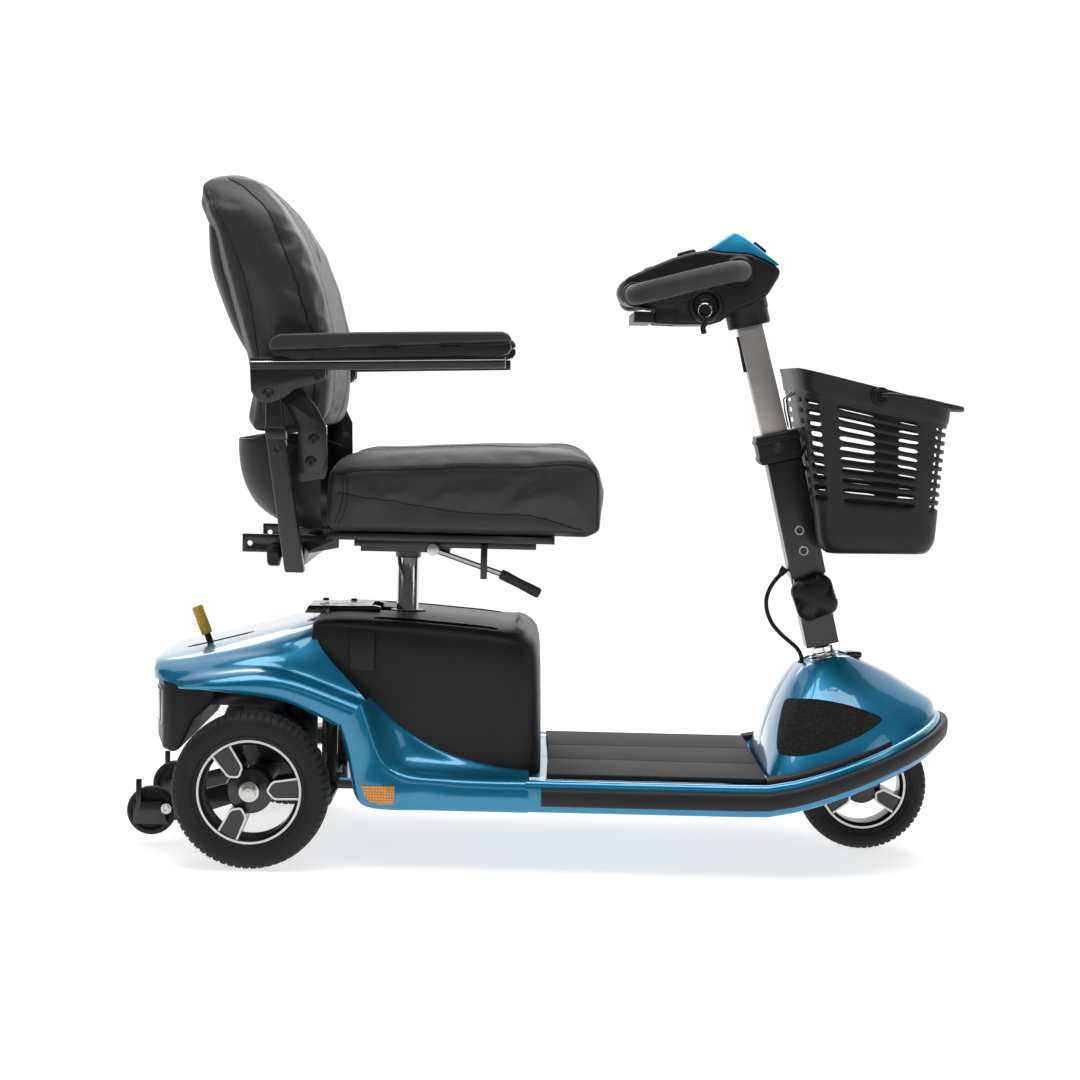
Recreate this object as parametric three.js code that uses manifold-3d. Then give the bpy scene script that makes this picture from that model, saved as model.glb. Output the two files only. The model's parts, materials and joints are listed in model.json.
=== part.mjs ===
// Three-wheeled travel mobility scooter, as an assembly of separate pieces.
// Millimetres, +Z up. Inside the scooter group X runs forward from the rear axle and Y to the
// rider's left; the group is shifted so that its bounding box is centred over the origin.
import * as THREE from 'three';
import { mergeVertices } from 'three/addons/utils/BufferGeometryUtils.js';
import { ConvexGeometry } from 'three/addons/geometries/ConvexGeometry.js';
import Module from 'manifold-3d';

const wasm = await Module();
wasm.setup();

// ---------------------------------------------------------------- driving dimensions
const REAR_WHEEL_RADIUS = 114.5;
const FRONT_WHEEL_RADIUS = 100;
const TYRE_WIDTH = 66;
const REAR_TRACK_HALF = 248;
const RIM_RATIO = 0.665;
const CENTRE_X = 419;

const TILLER_TILT = THREE.MathUtils.degToRad(13.5);
const PIVOT_X = 833;
const PIVOT_Z = 394;
const COLUMN_HALF = 27;
const CHROME_HALF_DEPTH = 19.7;
const CHROME_HALF_WIDTH = 15.7;

const DECK_HALF_WIDTH = 240;
const DECK_TOP = 131;
const DECK_BOTTOM = 88;
const SHELL = 4;
const NOSE_START = 790;
const NOSE_RISE = 0.36;
const NOSE_REACH = 240;
const BUMPER_THICKNESS = 12;

const FRAME_BOTTOM = 92;
const TUBE = 24;
const RAIL_INNER = 82;
const REAR_RAIL_Z = 215;

const POST_X = 207;
const POST_RADIUS = 17;
const SEAT_HALF_WIDTH = 213;
const SEAT_BOTTOM = 487;
const RECLINE_X = 76;
const RECLINE_Z = 590;
const ARM_Y = 250;
const ARM_STUB_X = 53;
const ARM_STUB_Z = 450;

const HANDLE_RADIUS = 15.5;
const CONSOLE_HALF_WIDTH = 62;
const CABLE_RADIUS = 3.3;
const GAP = 0.4;

// ---------------------------------------------------------------- finishes
function finish(color, roughness, metalness) {
  return { color, roughness, metalness };
}
const BLUE = finish(0x0076b2, 0.22, 0.45);
const BLACK_PLASTIC = finish(0x1c1c1e, 0.5, 0);
const TEXTURED_PLASTIC = finish(0x26272a, 0.7, 0);
const RUBBER = finish(0x151516, 0.85, 0);
const LEATHER = finish(0x222225, 0.55, 0);
const BLACK_STEEL = finish(0x18181a, 0.4, 0.6);
const CHROME = finish(0xd8d8da, 0.12, 1);
const ALUMINIUM = finish(0xb6b2ae, 0.35, 1);
const AMBER = finish(0xf0a014, 0.25, 0);
const YELLOW = finish(0xd8ae36, 0.5, 0);

// ---------------------------------------------------------------- solids
function solid(geometry) {
  const bare = geometry.clone();
  bare.deleteAttribute('normal');
  bare.deleteAttribute('uv');
  const merged = mergeVertices(bare, 1e-4);
  const corners = merged.index.array;
  const kept = [];
  for (let i = 0; i < corners.length; i += 3) {
    const [a, b, c] = [corners[i], corners[i + 1], corners[i + 2]];
    const collapsed = a === b || b === c || c === a;
    if (!collapsed) kept.push(a, b, c);
  }
  return new wasm.Manifold(new wasm.Mesh({
    numProp: 3,
    vertProperties: new Float32Array(merged.attributes.position.array),
    triVerts: new Uint32Array(kept),
  }));
}

function geometryOf(body) {
  const mesh = body.getMesh();
  const geometry = new THREE.BufferGeometry();
  geometry.setAttribute('position', new THREE.BufferAttribute(mesh.vertProperties, 3));
  geometry.setIndex(new THREE.BufferAttribute(mesh.triVerts, 1));
  geometry.computeVertexNormals();
  return geometry;
}

// A box from its low and high limits along each axis.
function box(x0, x1, y0, y1, z0, z1) {
  const geometry = new THREE.BoxGeometry(x1 - x0, y1 - y0, z1 - z0);
  geometry.translate((x0 + x1) / 2, (y0 + y1) / 2, (z0 + z1) / 2);
  return solid(geometry);
}

// A round bar between two points.
function rod(radius, from, to, segments = 20) {
  const start = new THREE.Vector3(...from);
  const end = new THREE.Vector3(...to);
  const direction = end.clone().sub(start);
  const geometry = new THREE.CylinderGeometry(radius, radius, direction.length(), segments);
  const turn = new THREE.Quaternion();
  turn.setFromUnitVectors(new THREE.Vector3(0, 1, 0), direction.clone().normalize());
  geometry.applyQuaternion(turn);
  geometry.translate(...start.add(end).multiplyScalar(0.5).toArray());
  return solid(geometry);
}

function outline(points) {
  return new THREE.Shape(points.map(([x, y]) => new THREE.Vector2(x, y)));
}

// A side-view outline of [x, z] points, from y0 to y1.
function plate(points, y0, y1) {
  const geometry = new THREE.ExtrudeGeometry(outline(points), { depth: y1 - y0, bevelEnabled: false });
  geometry.rotateX(Math.PI / 2);
  geometry.translate(0, y1, 0);
  return solid(geometry);
}

// A plan-view outline of [x, y] points, from z0 to z1.
function slab(points, z0, z1) {
  const geometry = new THREE.ExtrudeGeometry(outline(points), { depth: z1 - z0, bevelEnabled: false });
  geometry.translate(0, 0, z0);
  return solid(geometry);
}

// A front-view outline of [y, z] points, from x0 to x1.
function section(points, x0, x1) {
  const geometry = new THREE.ExtrudeGeometry(outline(points), { depth: x1 - x0, bevelEnabled: false });
  geometry.rotateX(Math.PI / 2);
  geometry.rotateZ(Math.PI / 2);
  geometry.translate(x0, 0, 0);
  return solid(geometry);
}

function hull(points) {
  return solid(new ConvexGeometry(points.map((p) => new THREE.Vector3(...p))));
}

// The same points on the right and left of the centre plane.
function bothSides(points) {
  return [...points, ...points.map(([x, y, z]) => [x, -y, z])];
}

// A closed outline of [radius, y] points turned about a Y axis through (x, z).
function turned(points, x, z, segments) {
  const profile = [...points, points[0]].map(([r, y]) => new THREE.Vector2(r, y));
  const geometry = new THREE.LatheGeometry(profile, segments);
  geometry.translate(x, 0, z);
  return solid(geometry);
}

// A round tube through points, with flat ends.
function tube(points, radius, sides, steps) {
  const curve = new THREE.CatmullRomCurve3(points.map((p) => new THREE.Vector3(...p)));
  const ring = new THREE.Shape();
  for (let i = 0; i < sides; i += 1) {
    const angle = (i / sides) * 2 * Math.PI;
    const [x, y] = [radius * Math.cos(angle), radius * Math.sin(angle)];
    if (i === 0) ring.moveTo(x, y);
    else ring.lineTo(x, y);
  }
  return solid(new THREE.ExtrudeGeometry(ring, { steps, extrudePath: curve, bevelEnabled: false }));
}

function join(...bodies) {
  return bodies.reduce((sum, next) => sum.add(next));
}

function cut(base, ...tools) {
  return tools.reduce((left, tool) => left.subtract(tool), base);
}

// ---------------------------------------------------------------- the scene graph
const scooter = new THREE.Group();
scooter.position.x = -CENTRE_X;

// Pieces drawn about the steering column: X is forward of it, Z runs up along it.
const column = new THREE.Group();
column.position.set(PIVOT_X, 0, PIVOT_Z);
column.rotation.y = -TILLER_TILT;
scooter.add(column);

function place(name, body, look, group = scooter) {
  const material = new THREE.MeshStandardMaterial(look);
  const mesh = new THREE.Mesh(geometryOf(body), material);
  mesh.name = name;
  group.add(mesh);
}

// A point on the steering axis, a distance along it from the tilt pivot.
function onAxis(along, forward = 0) {
  return [
    PIVOT_X + forward * Math.cos(TILLER_TILT) - along * Math.sin(TILLER_TILT),
    0,
    PIVOT_Z + forward * Math.sin(TILLER_TILT) + along * Math.cos(TILLER_TILT),
  ];
}

const SIDES = [['right', -1], ['left', 1]];

// A span of y on one side of the scooter, in rising order.
function span(side, near, far) {
  return [side * near, side * far].sort((a, b) => a - b);
}

// ---------------------------------------------------------------- wheels
function tyre(radius, halfWidth, rimRadius, x, z) {
  const wall = (radius + rimRadius) / 2;
  const profile = [
    [rimRadius, -halfWidth + 9],
    [rimRadius + 5, -halfWidth + 3],
    [wall, -halfWidth],
    [radius - 8, -halfWidth + 3],
    [radius - 2, -halfWidth + 12],
    [radius, 0],
    [radius - 2, halfWidth - 12],
    [radius - 8, halfWidth - 3],
    [wall, halfWidth],
    [rimRadius + 5, halfWidth - 3],
    [rimRadius, halfWidth - 9],
  ];
  return turned(profile, x, z, 30);
}

function rim(outer, halfWidth, boreRadius, x, z) {
  const spokeHalf = 14;
  const hub = rod(25, [x, -halfWidth + 6, z], [x, halfWidth - 6, z]);
  const barrel = cut(
    rod(outer, [x, -halfWidth, z], [x, halfWidth, z], 30),
    rod(outer - 7, [x, -halfWidth - 1, z], [x, halfWidth + 1, z], 30),
  );
  let wheel = join(barrel, hub);
  for (const angle of [5, 125, 245]) {
    const spoke = box(10, outer - 4, -spokeHalf / 2, spokeHalf / 2, -spokeHalf, spokeHalf);
    wheel = wheel.add(spoke.rotate([0, -angle, 0]).translate([x, 0, z]));
  }
  return cut(wheel, rod(boreRadius, [x, -halfWidth, z], [x, halfWidth, z]));
}

for (const [name, side] of SIDES) {
  const y = side * REAR_TRACK_HALF;
  const rimRadius = REAR_WHEEL_RADIUS * RIM_RATIO;
  const half = TYRE_WIDTH / 2;
  const tyreBody = tyre(REAR_WHEEL_RADIUS, half, rimRadius, 0, REAR_WHEEL_RADIUS);
  place(`rear_tyre_${name}`, tyreBody.translate([0, y, 0]), RUBBER);
  const rimBody = rim(rimRadius - GAP, half - 6, 8.4, 0, REAR_WHEEL_RADIUS);
  place(`rear_rim_${name}`, rimBody.translate([0, y, 0]), ALUMINIUM);
  const nutFace = REAR_TRACK_HALF + half - 11.6;
  const shaft = join(
    rod(8, [0, side * 4, REAR_WHEEL_RADIUS], [0, side * nutFace, REAR_WHEEL_RADIUS]),
    rod(15, [0, side * nutFace, REAR_WHEEL_RADIUS], [0, side * (nutFace + 3), REAR_WHEEL_RADIUS]),
    rod(11, [0, side * nutFace, REAR_WHEEL_RADIUS], [0, side * (nutFace + 9), REAR_WHEEL_RADIUS], 6),
  );
  place(`rear_axle_shaft_${name}`, shaft, CHROME);
}

// ---------------------------------------------------------------- steel frame
function mainFrame() {
  const top = FRAME_BOTTOM + TUBE;
  const outer = RAIL_INNER + TUBE;
  const riserX = 88;
  const parts = [
    box(735, 760, -outer, outer, FRAME_BOTTOM, top),
    box(POST_X - 14, POST_X + 14, -outer, outer, FRAME_BOTTOM, top),
    box(riserX, riserX + 22, -outer, outer, REAR_RAIL_Z, REAR_RAIL_Z + 20),
    box(-130, -108, -outer, outer, REAR_RAIL_Z, REAR_RAIL_Z + 20),
    rod(24, [POST_X, 0, FRAME_BOTTOM + 2], [POST_X, 0, 352], 28),
    rod(11, [riserX + 14, -195, 92], [riserX + 14, 195, 92]),
    plate([[745, 94], [806, 94], [806, 205], [826, 238], [850, 243], [846, 276],
      [838, 276], [806, 222], [792, 160], [788, 124], [745, 117]], -18, 18),
    rod(20, onAxis(-165), onAxis(-109), 28),
  ];
  for (const [, side] of SIDES) {
    const [low, high] = span(side, RAIL_INNER, outer);
    parts.push(box(riserX, 760, low, high, FRAME_BOTTOM, top));
    parts.push(box(riserX, riserX + 22, low, high, FRAME_BOTTOM, REAR_RAIL_Z + 20));
    parts.push(box(-130, riserX + 22, low, high, REAR_RAIL_Z, REAR_RAIL_Z + 20));
  }
  return cut(
    join(...parts),
    rod(POST_RADIUS + GAP, [POST_X, 0, 124], [POST_X, 0, 360], 28),
    rod(12 + GAP, onAxis(-175), onAxis(-100), 28),
  );
}
place('main_frame', mainFrame(), BLACK_STEEL);

// ---------------------------------------------------------------- drive unit
function transaxle() {
  const z = REAR_WHEEL_RADIUS;
  const body = join(
    rod(45, [0, -32, z], [0, 32, z], 28),
    box(-40, 68, -32, 32, 120, 212),
    rod(20, [0, -195, z], [0, 195, z]),
  );
  return cut(body, rod(8 + GAP, [0, -200, z], [0, 200, z]));
}
place('transaxle', transaxle(), ALUMINIUM);
place('drive_motor', rod(38, [28, -34 + GAP - 108, 172], [28, -32 - GAP, 172], 28), BLACK_STEEL);

// ---------------------------------------------------------------- anti-tip wheels and their bracket
const TIP_X = -167;
const TIP_Z = 54;
const TIP_RADIUS = 37;

function antiTipBracket() {
  const parts = [rod(8, [-60, -96, 80], [-60, 96, 80])];
  const arm = [[-185, 36], [-185, 62], [-150, 68], [-60, 93],
    [28, 93], [28, 80], [-40, 66], [-130, 36]];
  const cheek = [[-192, 36], [-192, 68], [-150, 70], [-140, 36]];
  for (const [, side] of SIDES) {
    parts.push(plate(arm, ...span(side, 92, 98)));
    parts.push(plate(cheek, ...span(side, 128, 132)));
    parts.push(box(-188, -180, ...span(side, 126, 132), 60, 104));
    parts.push(rod(5, [TIP_X, side * 92, TIP_Z], [TIP_X, side * 132, TIP_Z]));
  }
  return join(...parts);
}
place('anti_tip_bracket', antiTipBracket(), BLACK_STEEL);

for (const [name, side] of SIDES) {
  const y = side * 113;
  const wheel = cut(
    rod(TIP_RADIUS, [TIP_X, y - 11, TIP_Z], [TIP_X, y + 11, TIP_Z], 28),
    rod(5 + GAP, [TIP_X, y - 12, TIP_Z], [TIP_X, y + 12, TIP_Z]),
  );
  place(`anti_tip_wheel_${name}`, wheel, RUBBER);
}

// ---------------------------------------------------------------- deck, cowl and bumper
// Height that the deck gains towards the upturned nose.
function noseLift(x) {
  return Math.max(0, x - NOSE_START) * NOSE_RISE;
}

// Plan outline of the deck: straight sides and an elliptical nose.
function deckPlan(halfWidth, reach, rear) {
  const points = [[rear, -halfWidth]];
  const steps = 16;
  for (let i = 0; i <= steps; i += 1) {
    const angle = ((i / steps) - 0.5) * Math.PI;
    points.push([NOSE_START + reach * Math.cos(angle), halfWidth * Math.sin(angle)]);
  }
  points.push([rear, halfWidth]);
  return points;
}

// Side band of the deck between two heights, bent up at the nose.
function deckBand(rear, low, high) {
  const front = NOSE_START + NOSE_REACH + 30;
  return [
    [rear, low], [NOSE_START, low], [front, low + noseLift(front)],
    [front, high + noseLift(front)], [NOSE_START, high], [rear, high],
  ];
}

// Lower edge of the battery box, where it meets the blue bodywork.
const BATTERY_SWEEP = [[83, 322], [120, 285], [163, 240], [200, 207], [239, 180], [300, 156], [389, 138]];

function cowlHull(inset, drop) {
  const base = DECK_TOP - drop;
  const points = [[753 + inset, 165 - inset, base]];
  for (const angle of [85, 68, 50, 32, 15, 0]) {
    const turn = THREE.MathUtils.degToRad(angle);
    const x = NOSE_START + (NOSE_REACH - 12 - inset) * Math.cos(turn);
    points.push([x, (DECK_HALF_WIDTH - 48 - inset) * Math.sin(turn), base + noseLift(x)]);
  }
  const top = [[812, 40, 284], [832, 46, 290], [880, 42, 303], [915, 28, 294], [985, 8, 258]];
  for (const [x, y, z] of top) points.push([x + (x < 830 ? inset : 0), y, z - inset]);
  return hull(bothSides(points));
}

function frontShroud() {
  const half = DECK_HALF_WIDTH;
  const deep = 80;
  const deck = slab(deckPlan(half, NOSE_REACH, 126), 60, 260)
    .intersect(plate(deckBand(126, DECK_BOTTOM, DECK_TOP), -half - 5, half + 5));
  const deckHollow = slab(deckPlan(half - SHELL, NOSE_REACH - SHELL, 100), 0, 300)
    .intersect(plate(deckBand(100, DECK_BOTTOM - deep, DECK_TOP - SHELL), -half, half));
  const wing = [[126, 127], [126, 207], ...BATTERY_SWEEP.slice(2), [389, 127]];
  const wings = join(...SIDES.map(([, side]) => plate(wing, ...span(side, 177, 205))));
  const cowlHollow = join(cowlHull(SHELL, deep), rod(128, [905, 0, 60], [905, 0, 185], 32));
  return cut(
    join(deck, wings, cowlHull(0, 2)),
    deckHollow,
    cowlHollow,
    rod(44, onAxis(-160), onAxis(-60), 28),
    rod(25, [POST_X, 0, 100], [POST_X, 0, 160], 24),
    box(740, 800, -19, 19, 110, 140),
  );
}
place('front_shroud', frontShroud(), BLUE);

function frontBumper() {
  const half = DECK_HALF_WIDTH;
  const outer = slab(deckPlan(half + BUMPER_THICKNESS, NOSE_REACH + BUMPER_THICKNESS, 421), 60, 260);
  const inner = slab(deckPlan(half + GAP, NOSE_REACH + GAP, 400), 50, 270);
  return cut(outer, inner).intersect(plate(deckBand(410, 97, 124), -half - 20, half + 20));
}
place('front_bumper', frontBumper(), RUBBER);

const MAT_OUTLINE = [[428, -205], [742, -205], [742, 205], [428, 205]];
place('floor_mat', slab(MAT_OUTLINE, DECK_TOP + GAP, DECK_TOP + 6), RUBBER);

for (const [name, side] of SIDES) {
  const face = span(side, DECK_HALF_WIDTH + GAP, DECK_HALF_WIDTH + 4);
  place(`side_reflector_${name}`, box(160, 207, ...face, 95, 122), AMBER);
}

// ---------------------------------------------------------------- battery box and its contents
const BATTERY_SIDE = 172;

function batteryBox() {
  const side = [...BATTERY_SWEEP, [400, 138], [418, 145], [406, 335], [392, 362], [360, 372], [83, 362]];
  const front = [[-BATTERY_SIDE - 4, 100], [-BATTERY_SIDE, 340], [-145, 372],
    [145, 372], [BATTERY_SIDE, 340], [BATTERY_SIDE + 4, 100]];
  const outer = plate(side, -200, 200).intersect(section(front, 50, 450));
  const inner = outer.scale([0.975, 0.965, 0.97]).translate([6, 0, 3.5]);
  const below = box(175, 400, -150, 150, 100, 200);
  const grips = SIDES.map(([, s]) => box(180, 330, ...span(s, 108, 132), 340, 380));
  return cut(
    outer,
    inner.intersect(box(90, 500, -180, 180, 140, 366)),
    below,
    rod(30, [POST_X, 0, 100], [POST_X, 0, 400], 28),
    box(50, POST_X, -30, 30, 100, 400),
    ...grips,
  );
}
place('battery_box', batteryBox(), TEXTURED_PLASTIC);
place('battery_pack', box(250, 385, -140, 140, DECK_TOP + 2, 320), BLACK_PLASTIC);
place('charger_flap', box(134, 170, -BATTERY_SIDE - 7, -BATTERY_SIDE - 4.5, 282, 340), TEXTURED_PLASTIC);

// ---------------------------------------------------------------- rear cover, panel, latch and lever
const LEVER_Y = -60;

function rearCover() {
  const side = [
    [-149, 280], [-149, 312], [-138, 327], [-90, 337], [0, 351], [80, 360],
    [82, 320], [118, 284], [161, 239], [124, 205], [88, 236], [52, 256], [0, 263], [-60, 268], [-111, 273],
  ];
  const front = [[-238, 180], [-240, 275], [-172, 340], [-120, 362],
    [120, 362], [172, 340], [240, 275], [238, 180]];
  const plan = [[-149, -125], [-128, -215], [-60, -240], [170, -240],
    [170, 240], [-60, 240], [-128, 215], [-149, 125]];
  const outer = plate(side, -245, 245).intersect(section(front, -160, 170)).intersect(slab(plan, 150, 400));
  const inner = outer.scale([0.975, 0.972, 1]).translate([0.5, 0, -SHELL]);
  return cut(
    outer,
    inner,
    box(-118, -28, LEVER_Y - 12, LEVER_Y + 12, 290, 380),
    box(96, 170, -177, 177, 200, 330),
  );
}
place('rear_cover', rearCover(), BLUE);

function rearPanel() {
  const side = [[-166, 272], [-166, 188], [-143, 158], [-118, 150],
    [-72, 225], [-62, 262], [-112, 272]];
  const outer = plate(side, -195, 195);
  const room = [[-162, 280], [-162, 190], [-141, 162], [-118, 155], [-60, 240], [-50, 280]];
  const inner = plate(room, -191, 191);
  return cut(outer, inner);
}
place('rear_panel', rearPanel(), TEXTURED_PLASTIC);

function latchPlate() {
  const body = plate([[52, 363], [58, 374], [160, 376], [168, 374], [168, 366], [80, 363]], -45, 45);
  const holes = [78, 122].map((x) => rod(4, [x, -24, 350], [x, -24, 390], 12));
  return cut(body, ...holes, box(168 - 14, 180, -30, 30, 350, 390)).translate([0, 0, 0.5]);
}
place('latch_plate', latchPlate(), BLACK_STEEL);

const FREEWHEEL_PIVOT = [-68, LEVER_Y, 250];
const FREEWHEEL_TIP = [-111, LEVER_Y, 360];
const FREEWHEEL_GRIP = [-95, LEVER_Y, 319];
place('freewheel_lever', join(
  rod(5, FREEWHEEL_PIVOT, FREEWHEEL_GRIP, 12),
  rod(8, FREEWHEEL_GRIP, FREEWHEEL_TIP, 16),
  rod(9, [-68, LEVER_Y - 7, 250], [-68, LEVER_Y + 7, 250], 16),
), YELLOW);

// ---------------------------------------------------------------- steering: fork, stem, nut, knuckle
const FORK_AXLE_FORWARD = 16;
const FORK_AXLE_ALONG = -306.2;

function frontFork() {
  const parts = [
    rod(12, [0, 0, -182], [0, 0, -50]),
    box(-22, 34, -44, 44, -192, -178),
    rod(6, [FORK_AXLE_FORWARD, -50, FORK_AXLE_ALONG], [FORK_AXLE_FORWARD, 50, FORK_AXLE_ALONG]),
  ];
  for (const [, side] of SIDES) parts.push(box(4, 30, ...span(side, 37, 44), FORK_AXLE_ALONG - 14, -178));
  return join(...parts);
}
place('front_fork', frontFork(), BLACK_STEEL, column);

const [frontX, , frontZ] = onAxis(FORK_AXLE_ALONG, FORK_AXLE_FORWARD);
const frontRim = FRONT_WHEEL_RADIUS * RIM_RATIO;
place('front_tyre', tyre(FRONT_WHEEL_RADIUS, TYRE_WIDTH / 2 - 3, frontRim, frontX, frontZ), RUBBER);
place('front_rim', rim(frontRim - GAP, TYRE_WIDTH / 2 - 8, 6 + GAP, frontX, frontZ), ALUMINIUM);

place('stem_lock_nut', cut(
  join(rod(22, [0, 0, -108.5], [0, 0, -100], 28), rod(18, [0, 0, -100], [0, 0, -82], 6)),
  rod(12 + GAP, [0, 0, -120], [0, 0, -70]),
), CHROME, column);

place('steering_knuckle', cut(
  join(
    box(-25, 25, -25, 25, -78, -30),
    box(-23, 23, -10, 10, -32, 0),
    rod(23, [0, -10, 0], [0, 10, 0], 28),
  ),
  rod(12 + GAP, [0, 0, -90], [0, 0, -49]),
  rod(6, [0, -12, 0], [0, 12, 0]),
), BLACK_STEEL, column);

// ---------------------------------------------------------------- tiller column
function lowerColumn() {
  const half = COLUMN_HALF;
  const body = join(
    box(-half, half, -half, half, 32, 213),
    box(-24, 24, -half, half, 0, 60),
    rod(24, [0, -half, 0], [0, half, 0], 28),
  );
  return cut(
    body,
    box(-40, 40, -10.6, 10.6, -40, 30),
    box(-CHROME_HALF_DEPTH - GAP, CHROME_HALF_DEPTH + GAP, -CHROME_HALF_WIDTH - GAP,
      CHROME_HALF_WIDTH + GAP, 90, 220),
    rod(5 + GAP, [0, -40, 0], [0, 40, 0]),
  );
}
place('lower_column', lowerColumn(), BLACK_STEEL, column);

place('upper_column', cut(
  box(-CHROME_HALF_DEPTH, CHROME_HALF_DEPTH, -CHROME_HALF_WIDTH, CHROME_HALF_WIDTH, 92, 436),
  box(-CHROME_HALF_DEPTH + 2, CHROME_HALF_DEPTH - 2, -CHROME_HALF_WIDTH + 2, CHROME_HALF_WIDTH - 2, 80, 450),
  box(-30, -10, -3, 3, 340, 412),
), CHROME, column);

place('column_collar', cut(
  box(-37, 29, -33, 33, 213.5, 258),
  box(-CHROME_HALF_DEPTH - GAP, CHROME_HALF_DEPTH + GAP, -CHROME_HALF_WIDTH - GAP,
    CHROME_HALF_WIDTH + GAP, 200, 270),
), BLACK_PLASTIC, column);

// Four rounded lobes on the end of a clamp bolt.
function tillerKnob() {
  const faceY = -COLUMN_HALF - GAP;
  const lobes = [45, 135, 225, 315].map((angle) => {
    const turn = THREE.MathUtils.degToRad(angle);
    const [x, z] = [22 * Math.cos(turn), 22 * Math.sin(turn)];
    return rod(15, [x, faceY - 4, z], [x, faceY - 32, z], 16);
  });
  return join(
    rod(5, [0, faceY - 20, 0], [0, COLUMN_HALF + 8, 0], 16),
    rod(24, [0, faceY, 0], [0, faceY - 34, 0], 24),
    ...lobes,
  );
}
place('tiller_knob', tillerKnob(), BLACK_PLASTIC, column);

// ---------------------------------------------------------------- console
const CONSOLE_TOP_EDGE = [[533, 873], [600, 904], [654, 919]];
const COVER_EDGE = [[654, 919], [716, 915], [757, 897]];
const HORN = { x: 566, y: -26, z: 888.3, normal: [-0.42, 0, 0.908] };
const DIAL = { x: 626, y: 0, z: 911.2, normal: [-0.268, 0, 0.963] };

// A point some distance off the console's top face along its normal.
function lifted(seat, height) {
  return [seat.x + seat.normal[0] * height, seat.y, seat.z + seat.normal[2] * height];
}

function consoleHousing() {
  const side = [
    [518, 852], ...CONSOLE_TOP_EDGE, ...COVER_EDGE.slice(1), [765, 892], [746, 852],
    [706, 832], [676, 812], [606, 806], [606, 826], [580, 827], [545, 832], [528, 834],
  ];
  const half = CONSOLE_HALF_WIDTH;
  const plan = [[518, -30], [530, -half], [765, -half], [765, half], [530, half], [518, 30]];
  const body = plate(side, -half, half).intersect(slab(plan, 780, 960));
  const neck = rod(33, onAxis(428), onAxis(466), 24);
  const switchBoss = rod(22, [652, -half - 10, 834], [652, 0, 834], 24);
  const bore = box(-CHROME_HALF_DEPTH - GAP, CHROME_HALF_DEPTH + GAP, -CHROME_HALF_WIDTH - GAP,
    CHROME_HALF_WIDTH + GAP, 400, 438);
  const tilt = THREE.MathUtils.radToDeg(TILLER_TILT);
  return cut(
    join(body, neck, switchBoss),
    bore.rotate([0, -tilt, 0]).translate([PIVOT_X, 0, PIVOT_Z]),
    rod(7.6, lifted(HORN, -2.6), lifted(HORN, 5), 16),
    rod(4, [652, -half - 20, 834], [652, -half, 834], 12),
  );
}
place('console_housing', consoleHousing(), BLACK_PLASTIC);

const coverBase = COVER_EDGE.map(([x, z]) => [x, z + GAP]);
const coverSide = [...coverBase, [763, 898], [724, 929], [698, 946], [689, 945]];
place('console_cover', plate(coverSide, -CONSOLE_HALF_WIDTH + 2, CONSOLE_HALF_WIDTH - 2), BLUE);

place('horn_button', rod(7, lifted(HORN, -0.3), lifted(HORN, 4), 16), BLACK_PLASTIC);
place('speed_dial', rod(15, lifted(DIAL, 0.5), lifted(DIAL, 8), 24), BLACK_PLASTIC);

place('throttle_lever', join(
  box(543, 572, -105, 105, 806, 822),
  box(570, 594, -16, 16, 808, 820),
  rod(10, [592, 0, 808], [592, 0, 825], 16),
), BLACK_PLASTIC);

place('ignition_key', join(
  rod(3.4, [652, -CONSOLE_HALF_WIDTH - 4, 834], [652, -CONSOLE_HALF_WIDTH - 16, 834], 12),
  box(645, 659, -CONSOLE_HALF_WIDTH - 34, -CONSOLE_HALF_WIDTH - 14, 832.5, 835.5),
), BLACK_PLASTIC);

for (const [name, side] of SIDES) {
  const face = CONSOLE_HALF_WIDTH + GAP;
  const route = [
    [702, face, 886], [701, 100, 885], [694, 150, 883], [668, 190, 877], [620, 208, 864],
    [576, 202, 852], [547, 168, 846], [542, 120, 846], [545, face, 849],
  ];
  const loop = tube(route.map(([x, y, z]) => [x, side * y, z]), HANDLE_RADIUS, 8, 24);
  const clear = box(500, 800, ...span(side, face, 400), 700, 1000);
  place(`handle_${name}`, loop.intersect(clear), RUBBER);
}

// ---------------------------------------------------------------- basket
const BASKET_TOP = [[791, 160, 743], [808, 164, 739], [1004, 156, 697], [1018, 146, 694]];
const BASKET_BASE = [[832, 118, 486], [840, 126, 476], [985, 120, 476], [995, 112, 482]];
const BASKET_WALL = 4;

function basketHull(inset, lift) {
  const top = BASKET_TOP.map(([x, y, z]) => [x + (x < 900 ? inset : -inset), y - inset, z + lift]);
  const base = BASKET_BASE.map(([x, y, z]) => [x + (x < 900 ? inset : -inset), y - inset, z + inset]);
  return hull(bothSides([...top, ...base]));
}

// Room for the steering column along the back of the basket.
function columnGroove(margin) {
  const tilt = THREE.MathUtils.radToDeg(TILLER_TILT);
  const front = COLUMN_HALF + 4 + margin;
  const groove = box(-150, front, -34 - margin, 34 + margin, -60, 500);
  return groove.rotate([0, -tilt, 0]).translate([PIVOT_X, 0, PIVOT_Z]);
}

function basket() {
  const outer = cut(basketHull(0, 0), columnGroove(0));
  const room = cut(basketHull(BASKET_WALL, 12), columnGroove(BASKET_WALL));
  return cut(outer, room);
}
place('basket', basket(), BLACK_PLASTIC);

const handleSide = [[906, 170, 712], [955, 170, 702], [1004, 168, 692], [1028, 146, 688], [1031, 70, 687]];
const handleFar = handleSide.map(([x, y, z]) => [x, -y, z]).reverse();
place('basket_handle', tube([...handleSide, [1031, 0, 687], ...handleFar], 5, 6, 36), BLACK_PLASTIC);

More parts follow.
